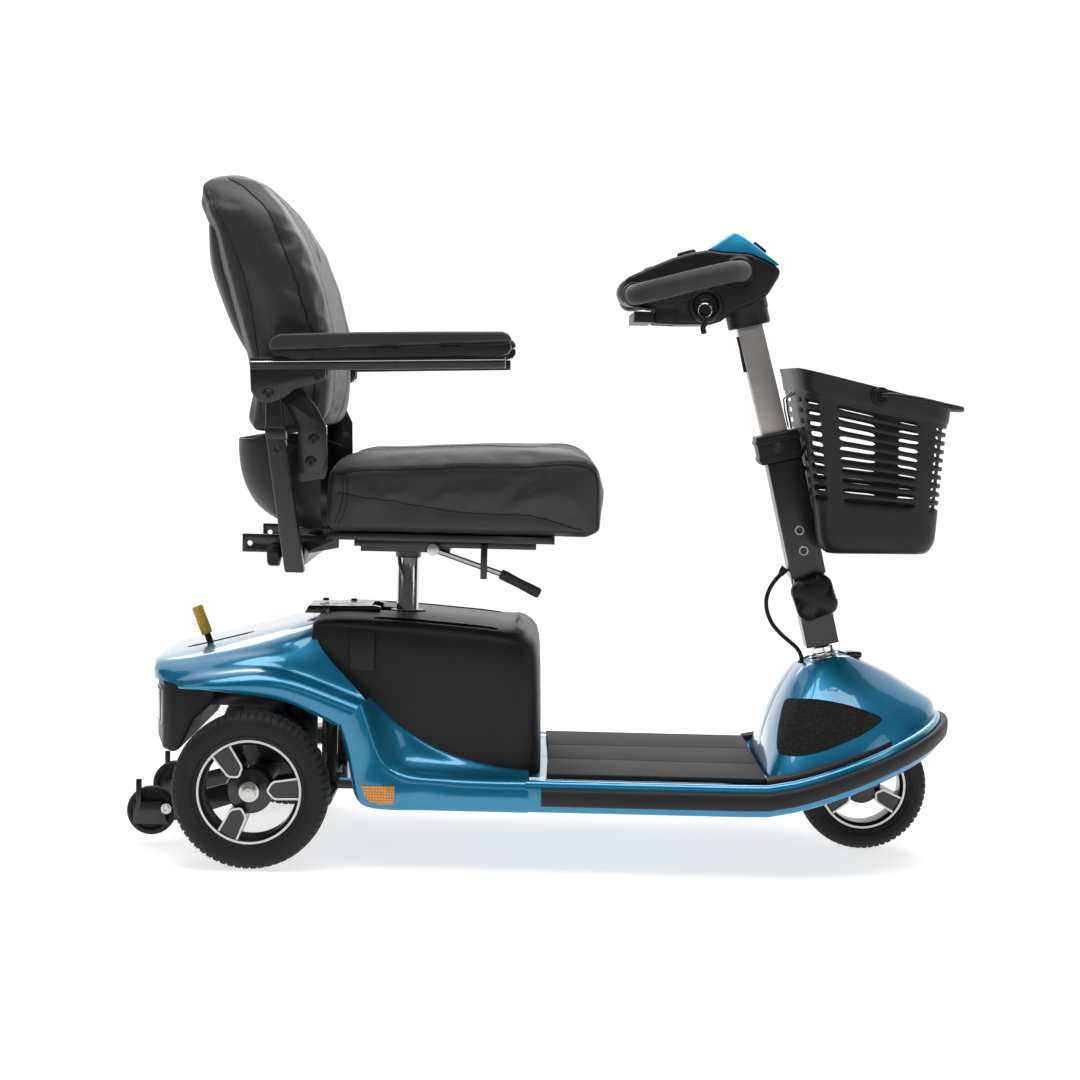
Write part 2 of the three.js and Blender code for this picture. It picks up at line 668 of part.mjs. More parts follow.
// ---------------------------------------------------------------- control cable
const CABLE_ROUTE = [
  [792, 0, 435], [786, 0, 426], [776, 0, 414], [768, 0, 400], [764, 0, 384], [766, 0, 366],
  [774, 0, 348], [787, 0, 333], [801, 0, 321], [813, 0, 311], [820, 0, 300], [822, 0, 288], [822, 0, 274],
];
place('tiller_cable', tube(CABLE_ROUTE, CABLE_RADIUS, 8, 26), RUBBER);

// ---------------------------------------------------------------- seat post and swivel
place('seat_post', rod(POST_RADIUS, [POST_X, 0, 128], [POST_X, 0, 452], 28), CHROME);

function swivelPlate() {
  const parts = [box(140, 275, -92, 92, 452.5, 460)];
  for (const [, side] of SIDES) parts.push(box(130, 405, ...span(side, 74, 92), 460, 470));
  parts.push(box(322, 332, -114, -90, 460, 468));
  parts.push(box(322, 332, -114, -110, 416, 468));
  parts.push(box(322, 332, -114, -96, 416, 420));
  return join(...parts);
}
place('swivel_plate', swivelPlate(), BLACK_STEEL);

place('swivel_lever', join(
  rod(9, [250, -108, 458], [250, -93, 458], 16),
  rod(4, [250, -102, 458], [352, -102, 424], 12),
  rod(8, [352, -102, 424], [412, -102, 394], 16),
), BLACK_STEEL);

// ---------------------------------------------------------------- seat
function seatPan() {
  const parts = [
    box(100, 480, -190, 190, 476, 486),
    box(40, 66, -190, 190, ARM_STUB_Z - 13, ARM_STUB_Z + 13),
  ];
  for (const [, side] of SIDES) {
    parts.push(box(120, 420, ...span(side, 74, 92), 470.5, 478));
    parts.push(box(-17, 110, ...span(side, 120, 126), 459, 486));
    parts.push(box(96, 110, ...span(side, 120, 180), 476, 486));
  }
  const bores = [box(42.6, 63.4, -200, 200, ARM_STUB_Z - 10.4, ARM_STUB_Z + 10.4)];
  for (const [, side] of SIDES) {
    bores.push(rod(4.4, [30, side * 160, ARM_STUB_Z], [50, side * 160, ARM_STUB_Z], 12));
  }
  bores.push(rod(4, [-6, -130, 472], [-6, 130, 472], 12));
  return cut(join(...parts), ...bores);
}
place('seat_pan', seatPan(), BLACK_STEEL);

const cushionBase = [[93, 205, SEAT_BOTTOM], [500, 205, SEAT_BOTTOM], [93, 120, SEAT_BOTTOM]];
const cushionRim = [[93, 210, 560], [93, 205, 580], [150, SEAT_HALF_WIDTH, 588], [490, SEAT_HALF_WIDTH, 596],
  [505, 206, 580], [506, 205, 500]];
const cushionCrown = [[96, 120, 590], [150, 120, 602], [330, 130, 613], [450, 130, 614], [495, 150, 600]];
place('seat_cushion', hull(bothSides([...cushionBase, ...cushionRim, ...cushionCrown])), LEATHER);

function seatShell() {
  const half = SEAT_HALF_WIDTH;
  const outer = [[-30, 620], [-27, 575], [-10, 532], [18, 505], [55, 491], [91, 489], [91, 590], [60, 620]];
  const inner = [[-25, 640], [-22, 577], [-6, 535], [20, 510], [55, 496], [120, 494], [120, 640]];
  const pins = SIDES.map(([, side]) => rod(6, [RECLINE_X, side * (half - 8), RECLINE_Z],
    [RECLINE_X, side * (half + 9), RECLINE_Z], 16));
  return join(cut(plate(outer, -half, half), plate(inner, -half + 5, half - 5)), ...pins);
}
place('seat_shell', seatShell(), TEXTURED_PLASTIC);

// ---------------------------------------------------------------- backrest
function backrestFrame() {
  const side = [[58, 574], [92, 574], [98, 640], [60, 705], [-40, 724],
    [-62, 724], [-62, 698], [30, 680], [58, 640]];
  const plates = SIDES.map(([, s]) => plate(side, ...span(s, 215.5, 220)));
  const holes = SIDES.map(([, s]) => rod(6 + GAP, [RECLINE_X, s * 210, RECLINE_Z],
    [RECLINE_X, s * 225, RECLINE_Z], 16));
  return cut(join(...plates, box(-62, -52, -220, 220, 698, 724)), ...holes);
}
place('backrest_frame', backrestFrame(), BLACK_STEEL);

function backrestCushion() {
  const side = [
    [-28, 626], [-36, 680], [-49, 740], [-86, 860], [-110, 946], [-115, 990], [-96, 1012], [-60, 1018],
    [-20, 1004], [16, 967], [53, 910], [80, 839], [95, 774], [96, 700], [93, 650], [80, 628],
  ];
  const front = [[-196, 620], [-208, 720], [-208, 880], [-190, 960], [-150, 1004], [-90, 1018],
    [90, 1018], [150, 1004], [190, 960], [208, 880], [208, 720], [196, 620]];
  return plate(side, -210, 210).intersect(section(front, -130, 110));
}
place('backrest_cushion', backrestCushion(), LEATHER);

// ---------------------------------------------------------------- armrests
function armPost(side) {
  const upright = [[12, 702], [38, 702], [68, 432], [40, 432]];
  return join(
    plate(upright, ...span(side, ARM_Y - 12, ARM_Y + 12)),
    box(ARM_STUB_X - 10, ARM_STUB_X + 10, ...span(side, 95, ARM_Y), ARM_STUB_Z - 10, ARM_STUB_Z + 10),
  );
}

function armBracket(side) {
  const cheek = [[-9, 726], [-9, 690], [4, 674], [44, 674], [105, 708], [105, 726]];
  return join(
    plate(cheek, ...span(side, ARM_Y - 20, ARM_Y - 13)),
    plate(cheek, ...span(side, ARM_Y + 13, ARM_Y + 20)),
    box(-9, 355, ...span(side, ARM_Y - 20, ARM_Y + 20), 724, 738),
  );
}

function armPad(side) {
  const profile = [[20, 742], [24, 738.5], [358, 738.5], [363, 744],
    [362, 768], [352, 781], [34, 782], [20, 770]];
  return plate(profile, ...span(side, ARM_Y - 28, ARM_Y + 28));
}

function armKnob(side) {
  const y = side * 160;
  return join(
    rod(4, [20, y, ARM_STUB_Z], [42, y, ARM_STUB_Z], 12),
    rod(19, [8, y, ARM_STUB_Z], [28, y, ARM_STUB_Z], 8),
  );
}

for (const [name, side] of SIDES) {
  place(`armrest_post_${name}`, armPost(side), BLACK_STEEL);
  place(`armrest_bracket_${name}`, armBracket(side), BLACK_STEEL);
  place(`armrest_pad_${name}`, armPad(side), BLACK_PLASTIC);
  place(`armrest_knob_${name}`, armKnob(side), BLACK_PLASTIC);
}

export default scooter;
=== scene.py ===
"""Finished look of a three-wheeled travel mobility scooter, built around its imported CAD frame.

Places are written in millimetres forward of the rear axle, to the rider's left and up, and
spot() turns them into the frame's metres.
"""

import json
import logging
import math
from dataclasses import dataclass, field
from enum import Enum
from typing import Callable, Sequence

import bpy
from mathutils import Matrix, Vector, kdtree

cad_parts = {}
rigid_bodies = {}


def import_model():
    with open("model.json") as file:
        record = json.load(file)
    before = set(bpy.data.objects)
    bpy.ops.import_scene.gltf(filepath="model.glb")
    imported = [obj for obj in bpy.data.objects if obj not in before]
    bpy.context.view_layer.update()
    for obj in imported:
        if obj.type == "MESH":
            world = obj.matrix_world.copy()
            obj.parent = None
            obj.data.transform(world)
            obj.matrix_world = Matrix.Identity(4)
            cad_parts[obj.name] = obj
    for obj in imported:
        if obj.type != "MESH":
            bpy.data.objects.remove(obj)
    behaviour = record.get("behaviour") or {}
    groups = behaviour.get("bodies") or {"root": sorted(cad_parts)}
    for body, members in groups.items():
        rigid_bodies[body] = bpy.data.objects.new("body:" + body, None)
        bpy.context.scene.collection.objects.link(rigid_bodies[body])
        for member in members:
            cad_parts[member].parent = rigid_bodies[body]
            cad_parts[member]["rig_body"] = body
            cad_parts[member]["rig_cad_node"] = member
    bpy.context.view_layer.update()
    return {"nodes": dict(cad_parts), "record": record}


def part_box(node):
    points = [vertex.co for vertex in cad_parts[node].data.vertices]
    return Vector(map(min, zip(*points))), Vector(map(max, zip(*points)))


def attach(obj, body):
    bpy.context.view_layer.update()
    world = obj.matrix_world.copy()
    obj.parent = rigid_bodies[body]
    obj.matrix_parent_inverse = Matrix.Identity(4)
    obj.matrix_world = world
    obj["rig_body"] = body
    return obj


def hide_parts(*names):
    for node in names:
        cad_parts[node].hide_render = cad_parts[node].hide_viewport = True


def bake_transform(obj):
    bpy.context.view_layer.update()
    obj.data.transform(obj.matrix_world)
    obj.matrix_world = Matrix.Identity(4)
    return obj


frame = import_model()
LOG = logging.getLogger("scooter")

Point = Sequence[float]
Object = bpy.types.Object


def middle(node: str) -> Vector:
    """Centre of a CAD node's box."""
    low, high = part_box(node)
    return (low + high) / 2


AXLE = middle("rear_tyre_right").x
MM = 0.001


def spot(x: float, y: float, z: float) -> Vector:
    """A point of the frame, from millimetres forward of the rear axle, left and up."""
    return Vector((AXLE + x * MM, y * MM, z * MM))


def spots(points: Sequence[tuple[float, float, float]]) -> list[Vector]:
    """Points of the frame, from places in millimetres."""
    return [spot(x, y, z) for x, y, z in points]


def in_metres(profile: Sequence[tuple[float, float]]) -> list[tuple[float, float]]:
    """A profile of radius and reach, from millimetres."""
    return [(radius * MM, reach * MM) for radius, reach in profile]


TILT = math.radians(13.5)
PIVOT = (833.0, 394.0)


def on_column(along: float, forward: float = 0.0, side: float = 0.0) -> Vector:
    """A point in the tiller's own directions, measured from its tilt pivot, in millimetres."""
    x = PIVOT[0] + forward * math.cos(TILT) - along * math.sin(TILT)
    z = PIVOT[1] + forward * math.sin(TILT) + along * math.cos(TILT)
    return spot(x, side, z)


def blend_smoothly(value: float, low: float, high: float) -> float:
    """0 below low, 1 above high and an S curve between them."""
    share = min(1.0, max(0.0, (value - low) / (high - low)))
    return share * share * (3 - 2 * share)


def spline(points: Sequence[Vector], count: int) -> list[Vector]:
    """Points evenly spread along a smooth curve.

    Args:
        points: the places that the curve goes through, two or more.
        count: how many points to return, both ends included.

    Returns:
        The points, the first and last of which are the ends given.
    """
    keys = [Vector(p) for p in points]
    ends = [keys[0] * 2 - keys[1], *keys, keys[-1] * 2 - keys[-2]]
    fine = []
    for before, start, end, after in zip(ends, ends[1:], ends[2:], ends[3:]):
        for step in range(12):
            t = step / 12
            lead = (end - before) * 0.5
            leave = (after - start) * 0.5
            fine.append(
                start * (2 * t**3 - 3 * t**2 + 1) + lead * (t**3 - 2 * t**2 + t)
                + end * (3 * t**2 - 2 * t**3) + leave * (t**3 - t**2)
            )
    fine.append(keys[-1])
    reach = [0.0]
    for a, b in zip(fine, fine[1:]):
        reach.append(reach[-1] + (b - a).length)
    spread, index = [], 0
    for number in range(count):
        goal = reach[-1] * number / (count - 1)
        while index < len(fine) - 2 and reach[index + 1] < goal:
            index += 1
        gap = reach[index + 1] - reach[index]
        share = 0.0 if gap < 1e-12 else (goal - reach[index]) / gap
        spread.append(fine[index].lerp(fine[index + 1], min(1.0, share)))
    return spread


# ------------------------------------------------------------------ shader maths
class Wire:
    """A shader socket; arithmetic on it adds the Math nodes that work it out."""

    def __init__(self, tree: bpy.types.NodeTree, socket: bpy.types.NodeSocket) -> None:
        """Keeps the socket and the tree that it is in."""
        self.tree = tree
        self.socket = socket

    def _math(self, operation: str, first: "Wire | float", second: "Wire | float") -> "Wire":
        """Adds one Math node.

        Args:
            operation: the node's operation.
            first: its first value.
            second: its second value.

        Returns:
            The node's result.
        """
        node = self.tree.nodes.new("ShaderNodeMath")
        node.operation = operation
        for slot, value in zip(node.inputs, (first, second)):
            if isinstance(value, Wire):
                self.tree.links.new(value.socket, slot)
            else:
                slot.default_value = value
        return Wire(self.tree, node.outputs[0])

    def __add__(self, other: "Wire | float") -> "Wire":
        """Sum."""
        return self._math("ADD", self, other)

    def __radd__(self, other: float) -> "Wire":
        """Sum, reflected."""
        return self._math("ADD", other, self)

    def __sub__(self, other: "Wire | float") -> "Wire":
        """Difference."""
        return self._math("SUBTRACT", self, other)

    def __rsub__(self, other: float) -> "Wire":
        """Difference, reflected."""
        return self._math("SUBTRACT", other, self)

    def __mul__(self, other: "Wire | float") -> "Wire":
        """Product."""
        return self._math("MULTIPLY", self, other)

    def __rmul__(self, other: float) -> "Wire":
        """Product, reflected."""
        return self._math("MULTIPLY", other, self)

    def __pow__(self, other: "Wire | float") -> "Wire":
        """Power."""
        return self._math("POWER", self, other)

    def __gt__(self, other: "Wire | float") -> "Wire":
        """1 where this is the greater, else 0."""
        return self._math("GREATER_THAN", self, other)


class Recipe:
    """One material being mixed: its nodes come from node() and its finish from surface()."""

    def __init__(self, name: str) -> None:
        """Starts an empty material of that name."""
        self.material = bpy.data.materials.new(name)
        self.material.use_nodes = True
        self.tree = self.material.node_tree
        self.tree.nodes.clear()
        self.place = self.node("ShaderNodeTexCoord", output="Object")

    def node(self, kind: str, settings: dict | None = None, output: str | int = 0,
             **values: "Wire | float | tuple") -> Wire:
        """Adds any node.

        Args:
            kind: the node's type.
            settings: its properties, and "stops" for a colour ramp.
            output: the output to return, by name or number.
            values: values or links of its sockets; a blank in a name is written _.

        Returns:
            The output asked for.
        """
        made = self.tree.nodes.new(kind)
        for key, value in (settings or {}).items():
            if key == "stops":
                self._stops(made, value)
            else:
                setattr(made, key, value)
        for key, value in values.items():
            socket = made.inputs[key.replace("_", " ")]
            if isinstance(value, Wire):
                self.tree.links.new(value.socket, socket)
            else:
                socket.default_value = value
        return Wire(self.tree, made.outputs[output])

    @staticmethod
    def _stops(ramp: bpy.types.Node, stops: Sequence[tuple[float, float]]) -> None:
        """Sets a colour ramp's grey stops, given as (place, brightness)."""
        elements = ramp.color_ramp.elements
        while len(elements) < len(stops):
            elements.new(1.0)
        for element, (place, level) in zip(elements, stops):
            element.position = place
            element.color = (level, level, level, 1)

    def noise(self, scale: float, detail: float = 2.0, distortion: float = 0.0) -> Wire:
        """Soft noise on the object's own coordinates."""
        return self.node("ShaderNodeTexNoise", Vector=self.place, Scale=scale, Detail=detail,
                         Distortion=distortion)

    def tint(self, factor: Wire, first: Point, second: Point) -> Wire:
        """A colour that goes from first to second as factor goes from 0 to 1."""
        made = self.tree.nodes.new("ShaderNodeMix")
        made.data_type = "RGBA"
        self.tree.links.new(factor.socket, made.inputs[0])
        made.inputs[6].default_value = (*first, 1)
        made.inputs[7].default_value = (*second, 1)
        return Wire(self.tree, made.outputs[2])

    def bump(self, height: Wire, depth: float, strength: float = 1.0) -> Wire:
        """A normal bumped by a height, whose full range is depth metres."""
        return self.node("ShaderNodeBump", Height=height, Distance=depth, Strength=strength)

    def surface(self, **values: "Wire | float | tuple") -> bpy.types.Material:
        """Ends the recipe with a Principled shader of those inputs and returns the material."""
        shader = self.node("ShaderNodeBsdfPrincipled", **values)
        sink = self.tree.nodes.new("ShaderNodeOutputMaterial")
        self.tree.links.new(shader.socket, sink.inputs["Surface"])
        return self.material


# ------------------------------------------------------------------ finishes
@dataclass(frozen=True)
class MetallicPaint:
    """Clear-coated metallic paint with fine flake and a little orange peel."""

    name: str
    deep: Point
    bright: Point
    metallic: float = 0.55

    def mix(self) -> bpy.types.Material:
        """Makes the material."""
        r = Recipe(self.name)
        flake = r.node("ShaderNodeTexVoronoi", output="Distance", Vector=r.place, Scale=1600.0)
        drift = r.noise(2.5, 3.0)
        colour = r.tint(drift * 0.5 + flake * 0.45, self.deep, self.bright)
        peel = r.noise(260.0, 1.0)
        return r.surface(
            Base_Color=colour, Metallic=self.metallic, Roughness=0.26 + flake * 0.1,
            Coat_Weight=1.0, Coat_Roughness=0.025, Normal=r.bump(peel, 0.00004),
        )


@dataclass(frozen=True)
class Moulded:
    """Moulded plastic or rubber: fine grain, slight colour drift and rubbed patches."""

    name: str
    colour: Point
    roughness: float
    grain: float = 900.0
    depth: float = 0.00008
    rub: float = 0.12
    coat: float = 0.0

    def mix(self) -> bpy.types.Material:
        """Makes the material."""
        r = Recipe(self.name)
        rubbed = r.noise(9.0, 5.0, 0.6)
        lighter = [c * 1.7 + 0.004 for c in self.colour]
        return r.surface(
            Base_Color=r.tint(rubbed, self.colour, lighter),
            Roughness=(self.roughness - self.rub / 2) + rubbed * self.rub,
            Coat_Weight=self.coat, Coat_Roughness=0.2, Specular_IOR_Level=0.26,
            Normal=r.bump(r.noise(self.grain, 2.0), self.depth),
        )


@dataclass(frozen=True)
class Vinyl:
    """Upholstery vinyl: pebbled grain in fine cells, soft creases and worn sheen."""

    name: str
    colour: Point
    worn: Point

    def mix(self) -> bpy.types.Material:
        """Makes the material."""
        r = Recipe(self.name)
        cells = r.node("ShaderNodeTexVoronoi", output="Distance", Vector=r.place, Scale=620.0)
        folds = r.noise(14.0, 6.0, 1.4)
        wear = r.noise(5.0, 4.0, 0.3)
        pores = r.bump(cells, 0.00022, 0.7)
        creases = r.node("ShaderNodeBump", Height=folds, Distance=0.0024, Strength=0.5, Normal=pores)
        return r.surface(
            Base_Color=r.tint(wear, self.colour, self.worn),
            Roughness=0.36 + wear * 0.2 + cells * 0.1,
            Sheen_Weight=0.12, Sheen_Roughness=0.5, Normal=creases,
        )


@dataclass(frozen=True)
class RibbedCloth:
    """Seat centre cloth with fine raised ribs; its colour carries painted shade in the grooves and a
    painted highlight on the rib crests.
    """

    name: str
    colour: Point
    # Colour of the rib crests: a painted highlight; colour above is the painted shade of the grooves.
    painted_highlight: Point
    turn: float = 0.0

    def mix(self) -> bpy.types.Material:
        """Makes the material."""
        r = Recipe(self.name)
        turned = r.node("ShaderNodeMapping", Vector=r.place, Rotation=(0.0, 0.0, self.turn))
        ribs = r.node("ShaderNodeTexWave", {"wave_profile": "SIN", "bands_direction": "Y"}, output=1,
                      Vector=turned, Scale=75.0, Distortion=0.4, Detail=1.0)
        thread = r.noise(1400.0, 2.0)
        height = ribs * 0.8 + thread * 0.25
        # Base colour follows the rib height: painted shade in the grooves, painted highlight on the
        # crests.
        return r.surface(
            Base_Color=r.tint(height, self.colour, self.painted_highlight), Roughness=0.62 + thread * 0.15,
            Sheen_Weight=0.3, Normal=r.bump(height, 0.0007),
        )


@dataclass(frozen=True)
class Steel:
    """Powder coat, plating or machined metal: scratches and smudges over one colour."""

    name: str
    colour: Point
    roughness: float
    metallic: float = 1.0
    texture: float = 0.00003
    grain: float = 700.0
    coat: float = 0.0

    def mix(self) -> bpy.types.Material:
        """Makes the material."""
        r = Recipe(self.name)
        smudge = r.noise(16.0, 6.0, 0.4)
        dulled = [c * 0.82 for c in self.colour]
        return r.surface(
            Base_Color=r.tint(smudge, self.colour, dulled), Metallic=self.metallic,
            Roughness=self.roughness + smudge * 0.1, Coat_Weight=self.coat, Coat_Roughness=0.15,
            Normal=r.bump(r.noise(self.grain, 3.0), self.texture),
        )


@dataclass(frozen=True)
class Reflector:
    """Amber reflector of small domed cells, with a painted highlight at each cell's centre fading to the
    amber colour at its edge.
    """

    name: str
    colour: Point
    # Colour of the cell centres: a painted highlight.
    painted_highlight: Point

    def mix(self) -> bpy.types.Material:
        """Makes the material."""
        r = Recipe(self.name)
        cells = r.node("ShaderNodeTexVoronoi", {"distance": "MANHATTAN"}, output="Distance",
                       Vector=r.place, Scale=240.0, Randomness=0.0)
        # Base colour is the painted highlight at each dome's centre, darkening to amber at its edge.
        return r.surface(
            Base_Color=r.tint(cells, self.painted_highlight, self.colour), Roughness=0.2, Coat_Weight=1.0,
            Coat_Roughness=0.05, Normal=r.bump(1.0 - cells, 0.0012),
        )


@dataclass(frozen=True)
class Grit:
    """Black anti-slip inlay with pale specks."""

    name: str
    colour: Point
    speck: Point

    def mix(self) -> bpy.types.Material:
        """Makes the material."""
        r = Recipe(self.name)
        grains = r.noise(900.0, 3.0)
        specks = r.node("ShaderNodeValToRGB", {"stops": ((0.62, 0.0), (0.7, 1.0))}, Fac=grains)
        return r.surface(
            Base_Color=r.tint(specks, self.colour, self.speck), Roughness=0.95 - specks * 0.4,
            Normal=r.bump(grains, 0.0006),
        )


class Look(Enum):
    """Every finish of the scooter."""

    BLUE = MetallicPaint("azure_paint", (0.0, 0.12, 0.24), (0.0, 0.31, 0.56))
    BLACK = Moulded("satin_black_plastic", (0.007, 0.007, 0.0075), 0.4)
    GRAINED = Moulded("grained_black_plastic", (0.008, 0.008, 0.0085), 0.42, 1300.0, 0.0001)
    GLOSS = Moulded("gloss_black_plastic", (0.006, 0.006, 0.007), 0.18, 500.0, 0.00002, 0.06, 0.6)
    BUMPER = Moulded("bumper_rubber", (0.013, 0.013, 0.013), 0.52, 1200.0, 0.0001)
    MAT = Moulded("mat_rubber", (0.02, 0.02, 0.021), 0.72, 1500.0, 0.0003)
    GRIP = Moulded("foam_grip", (0.028, 0.028, 0.03), 0.62, 1800.0, 0.00022)
    TYRE = Moulded("tyre_rubber", (0.009, 0.009, 0.009), 0.6, 800.0, 0.0002, 0.2)
    VINYL = Vinyl("charcoal_vinyl", (0.009, 0.009, 0.0095), (0.021, 0.021, 0.022))
    # Ribbed cloth: the second colour is the painted highlight on the rib crests.
    CLOTH = RibbedCloth("ribbed_cloth", (0.012, 0.012, 0.013), (0.075, 0.075, 0.08))
    PIPING = Moulded("seam_piping", (0.006, 0.006, 0.006), 0.5)
    COAT = Steel("black_powder_coat", (0.009, 0.009, 0.0095), 0.3, 0.15, 0.00006, 1100.0, 0.35)
    CHROME = Steel("bright_chrome", (0.78, 0.78, 0.79), 0.05)
    SATIN = Steel("satin_column_metal", (0.6, 0.57, 0.55), 0.3)
    ZINC = Steel("zinc_fastener", (0.62, 0.62, 0.6), 0.24)
    MACHINED = Steel("machined_silver", (0.72, 0.7, 0.67), 0.34)
    CASTING = Steel("cast_alloy", (0.11, 0.11, 0.11), 0.5, 0.8, 0.0002, 300.0)
    WHEEL = Steel("wheel_black", (0.008, 0.008, 0.009), 0.28, 0.1, 0.00003, 500.0, 0.4)
    # Amber reflector: the second colour is the painted highlight at the cell centres.
    AMBER = Reflector("amber_reflector", (0.5, 0.13, 0.003), (1.0, 0.46, 0.03))
    YELLOW = Moulded("yellow_grip", (0.45, 0.27, 0.035), 0.5, 700.0, 0.00015)
    GRIT = Grit("grit_inlay", (0.004, 0.004, 0.004), (0.12, 0.12, 0.11))
    RED = Moulded("red_lens", (0.07, 0.004, 0.004), 0.15, 400.0, 0.0001, 0.05, 1.0)
    PALE = Moulded("pale_lens", (0.5, 0.5, 0.5), 0.15, 400.0, 0.0001, 0.05, 1.0)

    @property
    def material(self) -> bpy.types.Material:
        """The finish's material, made once."""
        return bpy.data.materials.get(self.value.name) or self.value.mix()


# ------------------------------------------------------------------ the bench
class Bench:
    """Modelling steps, each done with Blender's own operators."""

    @staticmethod
    def clear() -> None:
        """Deselects everything."""
        bpy.ops.object.select_all(action="DESELECT")

    @staticmethod
    def take(thing: Object) -> Object:
        """Makes one object the only one selected, and active."""
        Bench.clear()
        thing.select_set(True)
        bpy.context.view_layer.objects.active = thing
        return thing

    @staticmethod
    def fresh(name: str) -> Object:
        """Names the object that an operator has just added."""
        made = bpy.context.object
        made.name = name
        made.data.name = name
        return made

    @staticmethod
    def edit(thing: Object, *steps: Callable[[], object], whole: bool = True) -> Object:
        """Runs edit-mode steps on an object.

        Args:
            thing: the mesh to work on.
            steps: the operators to run, each a call without arguments.
            whole: selects the whole mesh first; otherwise what was selected stays selected.

        Returns:
            The same object.
        """
        Bench.take(thing)
        bpy.ops.object.mode_set(mode="EDIT")
        if whole:
            bpy.ops.mesh.select_all(action="SELECT")
        for step in steps:
            step()
        bpy.ops.object.mode_set(mode="OBJECT")
        return thing

    @staticmethod
    def grid(name: str, rows: Sequence[Sequence[Vector]]) -> Object:
        """A sheet of quads through rows of points, all rows equally long."""
        wide, tall = len(rows[0]), len(rows)
        Bench.clear()
        bpy.ops.mesh.primitive_grid_add(x_subdivisions=wide - 1, y_subdivisions=tall - 1, size=2)
        made = Bench.fresh(name)
        for vertex in made.data.vertices:
            column = round((vertex.co.x + 1) / 2 * (wide - 1))
            row = round((vertex.co.y + 1) / 2 * (tall - 1))
            vertex.co = rows[row][column]
        return made

    @staticmethod
    def weld(thing: Object, distance: float = 1e-5) -> Object:
        """Merges doubles and turns every face outwards."""
        return Bench.edit(
            thing,
            lambda: bpy.ops.mesh.remove_doubles(threshold=distance),
            lambda: bpy.ops.mesh.dissolve_degenerate(),
            lambda: bpy.ops.mesh.normals_make_consistent(inside=False),
        )

    @staticmethod
    def loft(name: str, rails: Sequence[Sequence[Vector]], along: int, across: int,
             closed: bool = False) -> Object:
        """A smooth skin over guide rails.

        Args:
            name: the piece's name.
            rails: curves that run the same way, side by side.
            along: points along each rail.
            across: faces between one rail and the next.
            closed: joins the last rail to the first.

        Returns:
            The open or tubular skin.
        """
        runs = [spline(rail, along) for rail in rails]
        if closed:
            runs.append(runs[0])
        rows = []
        for number in range(along):
            cross = [run[number] for run in runs]
            count = across * (len(runs) - 1) + 1
            rows.append(Bench.even(cross, count, closed))
        return Bench.grid(name, rows)

    @staticmethod
    def even(cross: Sequence[Vector], count: int, closed: bool) -> list[Vector]:
        """Smooth points through a cross-section, with the same number in every span."""
        if closed:
            ends = [cross[-2], *cross, cross[1]]
        else:
            ends = [cross[0] * 2 - cross[1], *cross, cross[-1] * 2 - cross[-2]]
        steps = (count - 1) // (len(cross) - 1)
        points = []
        for before, start, end, after in zip(ends, ends[1:], ends[2:], ends[3:]):
            for step in range(steps):
                t = step / steps
                points.append(
                    start * (2 * t**3 - 3 * t**2 + 1) + (end - before) * 0.5 * (t**3 - 2 * t**2 + t)
                    + end * (3 * t**2 - 2 * t**3) + (after - start) * 0.5 * (t**3 - t**2)
                )
        points.append(cross[-1])
        return points

    @staticmethod
    def turned(name: str, profile: Sequence[tuple[float, float]], centre: Vector,
               axis: Vector = Vector((0, 1, 0)), sides: int = 64,
               shape: Callable[[float, int, float], float] | None = None,
               angles: Sequence[float] | None = None) -> Object:
        """A closed or pole-ended outline turned about an axis.

        Args:
            name: the piece's name.
            profile: (radius, distance along the axis) in metres.
            centre: a point on the axis.
            axis: its direction.
            sides: how many steps make the round.
            shape: changes a radius, from (radius, index in the profile, angle).
            angles: the turns to use in place of even ones.

        Returns:
            The welded piece.
        """
        forward = axis.normalized()
        across = forward.orthogonal().normalized()
        other = forward.cross(across)
        turns = list(angles or [2 * math.pi * i / sides for i in range(sides)])
        rows = []
        for angle in [*turns, turns[0]]:
            spoke = across * math.cos(angle) + other * math.sin(angle)
            row = []
            for index, (radius, along) in enumerate(profile):
                reach = shape(radius, index, angle) if shape else radius
                row.append(centre + spoke * reach + forward * along)
            rows.append(row)
        return Bench.weld(Bench.grid(name, rows))

    @staticmethod
    def polygon(name: str, points: Sequence[Vector]) -> Object:
        """One flat face with those corners."""
        Bench.clear()
        bpy.ops.mesh.primitive_circle_add(vertices=len(points), fill_type="NGON")
        made = Bench.fresh(name)
        for vertex, point in zip(made.data.vertices, points):
            vertex.co = point
        return made

    @staticmethod
    def prism(name: str, points: Sequence[Vector], depth: Vector) -> Object:
        """A flat outline extruded by a vector into a closed solid."""
        made = Bench.polygon(name, points)
        Bench.edit(
            made,
            lambda: bpy.ops.mesh.extrude_region_move(
                TRANSFORM_OT_translate={"value": depth, "orient_type": "GLOBAL"}),
            lambda: bpy.ops.mesh.select_all(action="SELECT"),
            lambda: bpy.ops.mesh.normals_make_consistent(inside=False),
        )
        return made

    @staticmethod
    def side_plate(name: str, outline: Sequence[tuple[float, float]], y0: float, y1: float) -> Object:
        """A side-view outline of (x, z) in millimetres, from y0 to y1."""
        return Bench.prism(name, [spot(x, y0, z) for x, z in outline], Vector((0, (y1 - y0) * MM, 0)))

    @staticmethod
    def rod(name: str, radius: float, start: Vector, end: Vector, sides: int = 32) -> Object:
        """A round bar of that radius in metres between two points."""
        line = end - start
        Bench.clear()
        bpy.ops.mesh.primitive_cylinder_add(
            vertices=sides, radius=radius, depth=line.length, location=(start + end) / 2,
            rotation=line.to_track_quat("Z", "Y").to_euler(),
        )
        made = Bench.fresh(name)
        bpy.ops.object.transform_apply(location=True, rotation=True, scale=True)
        return made

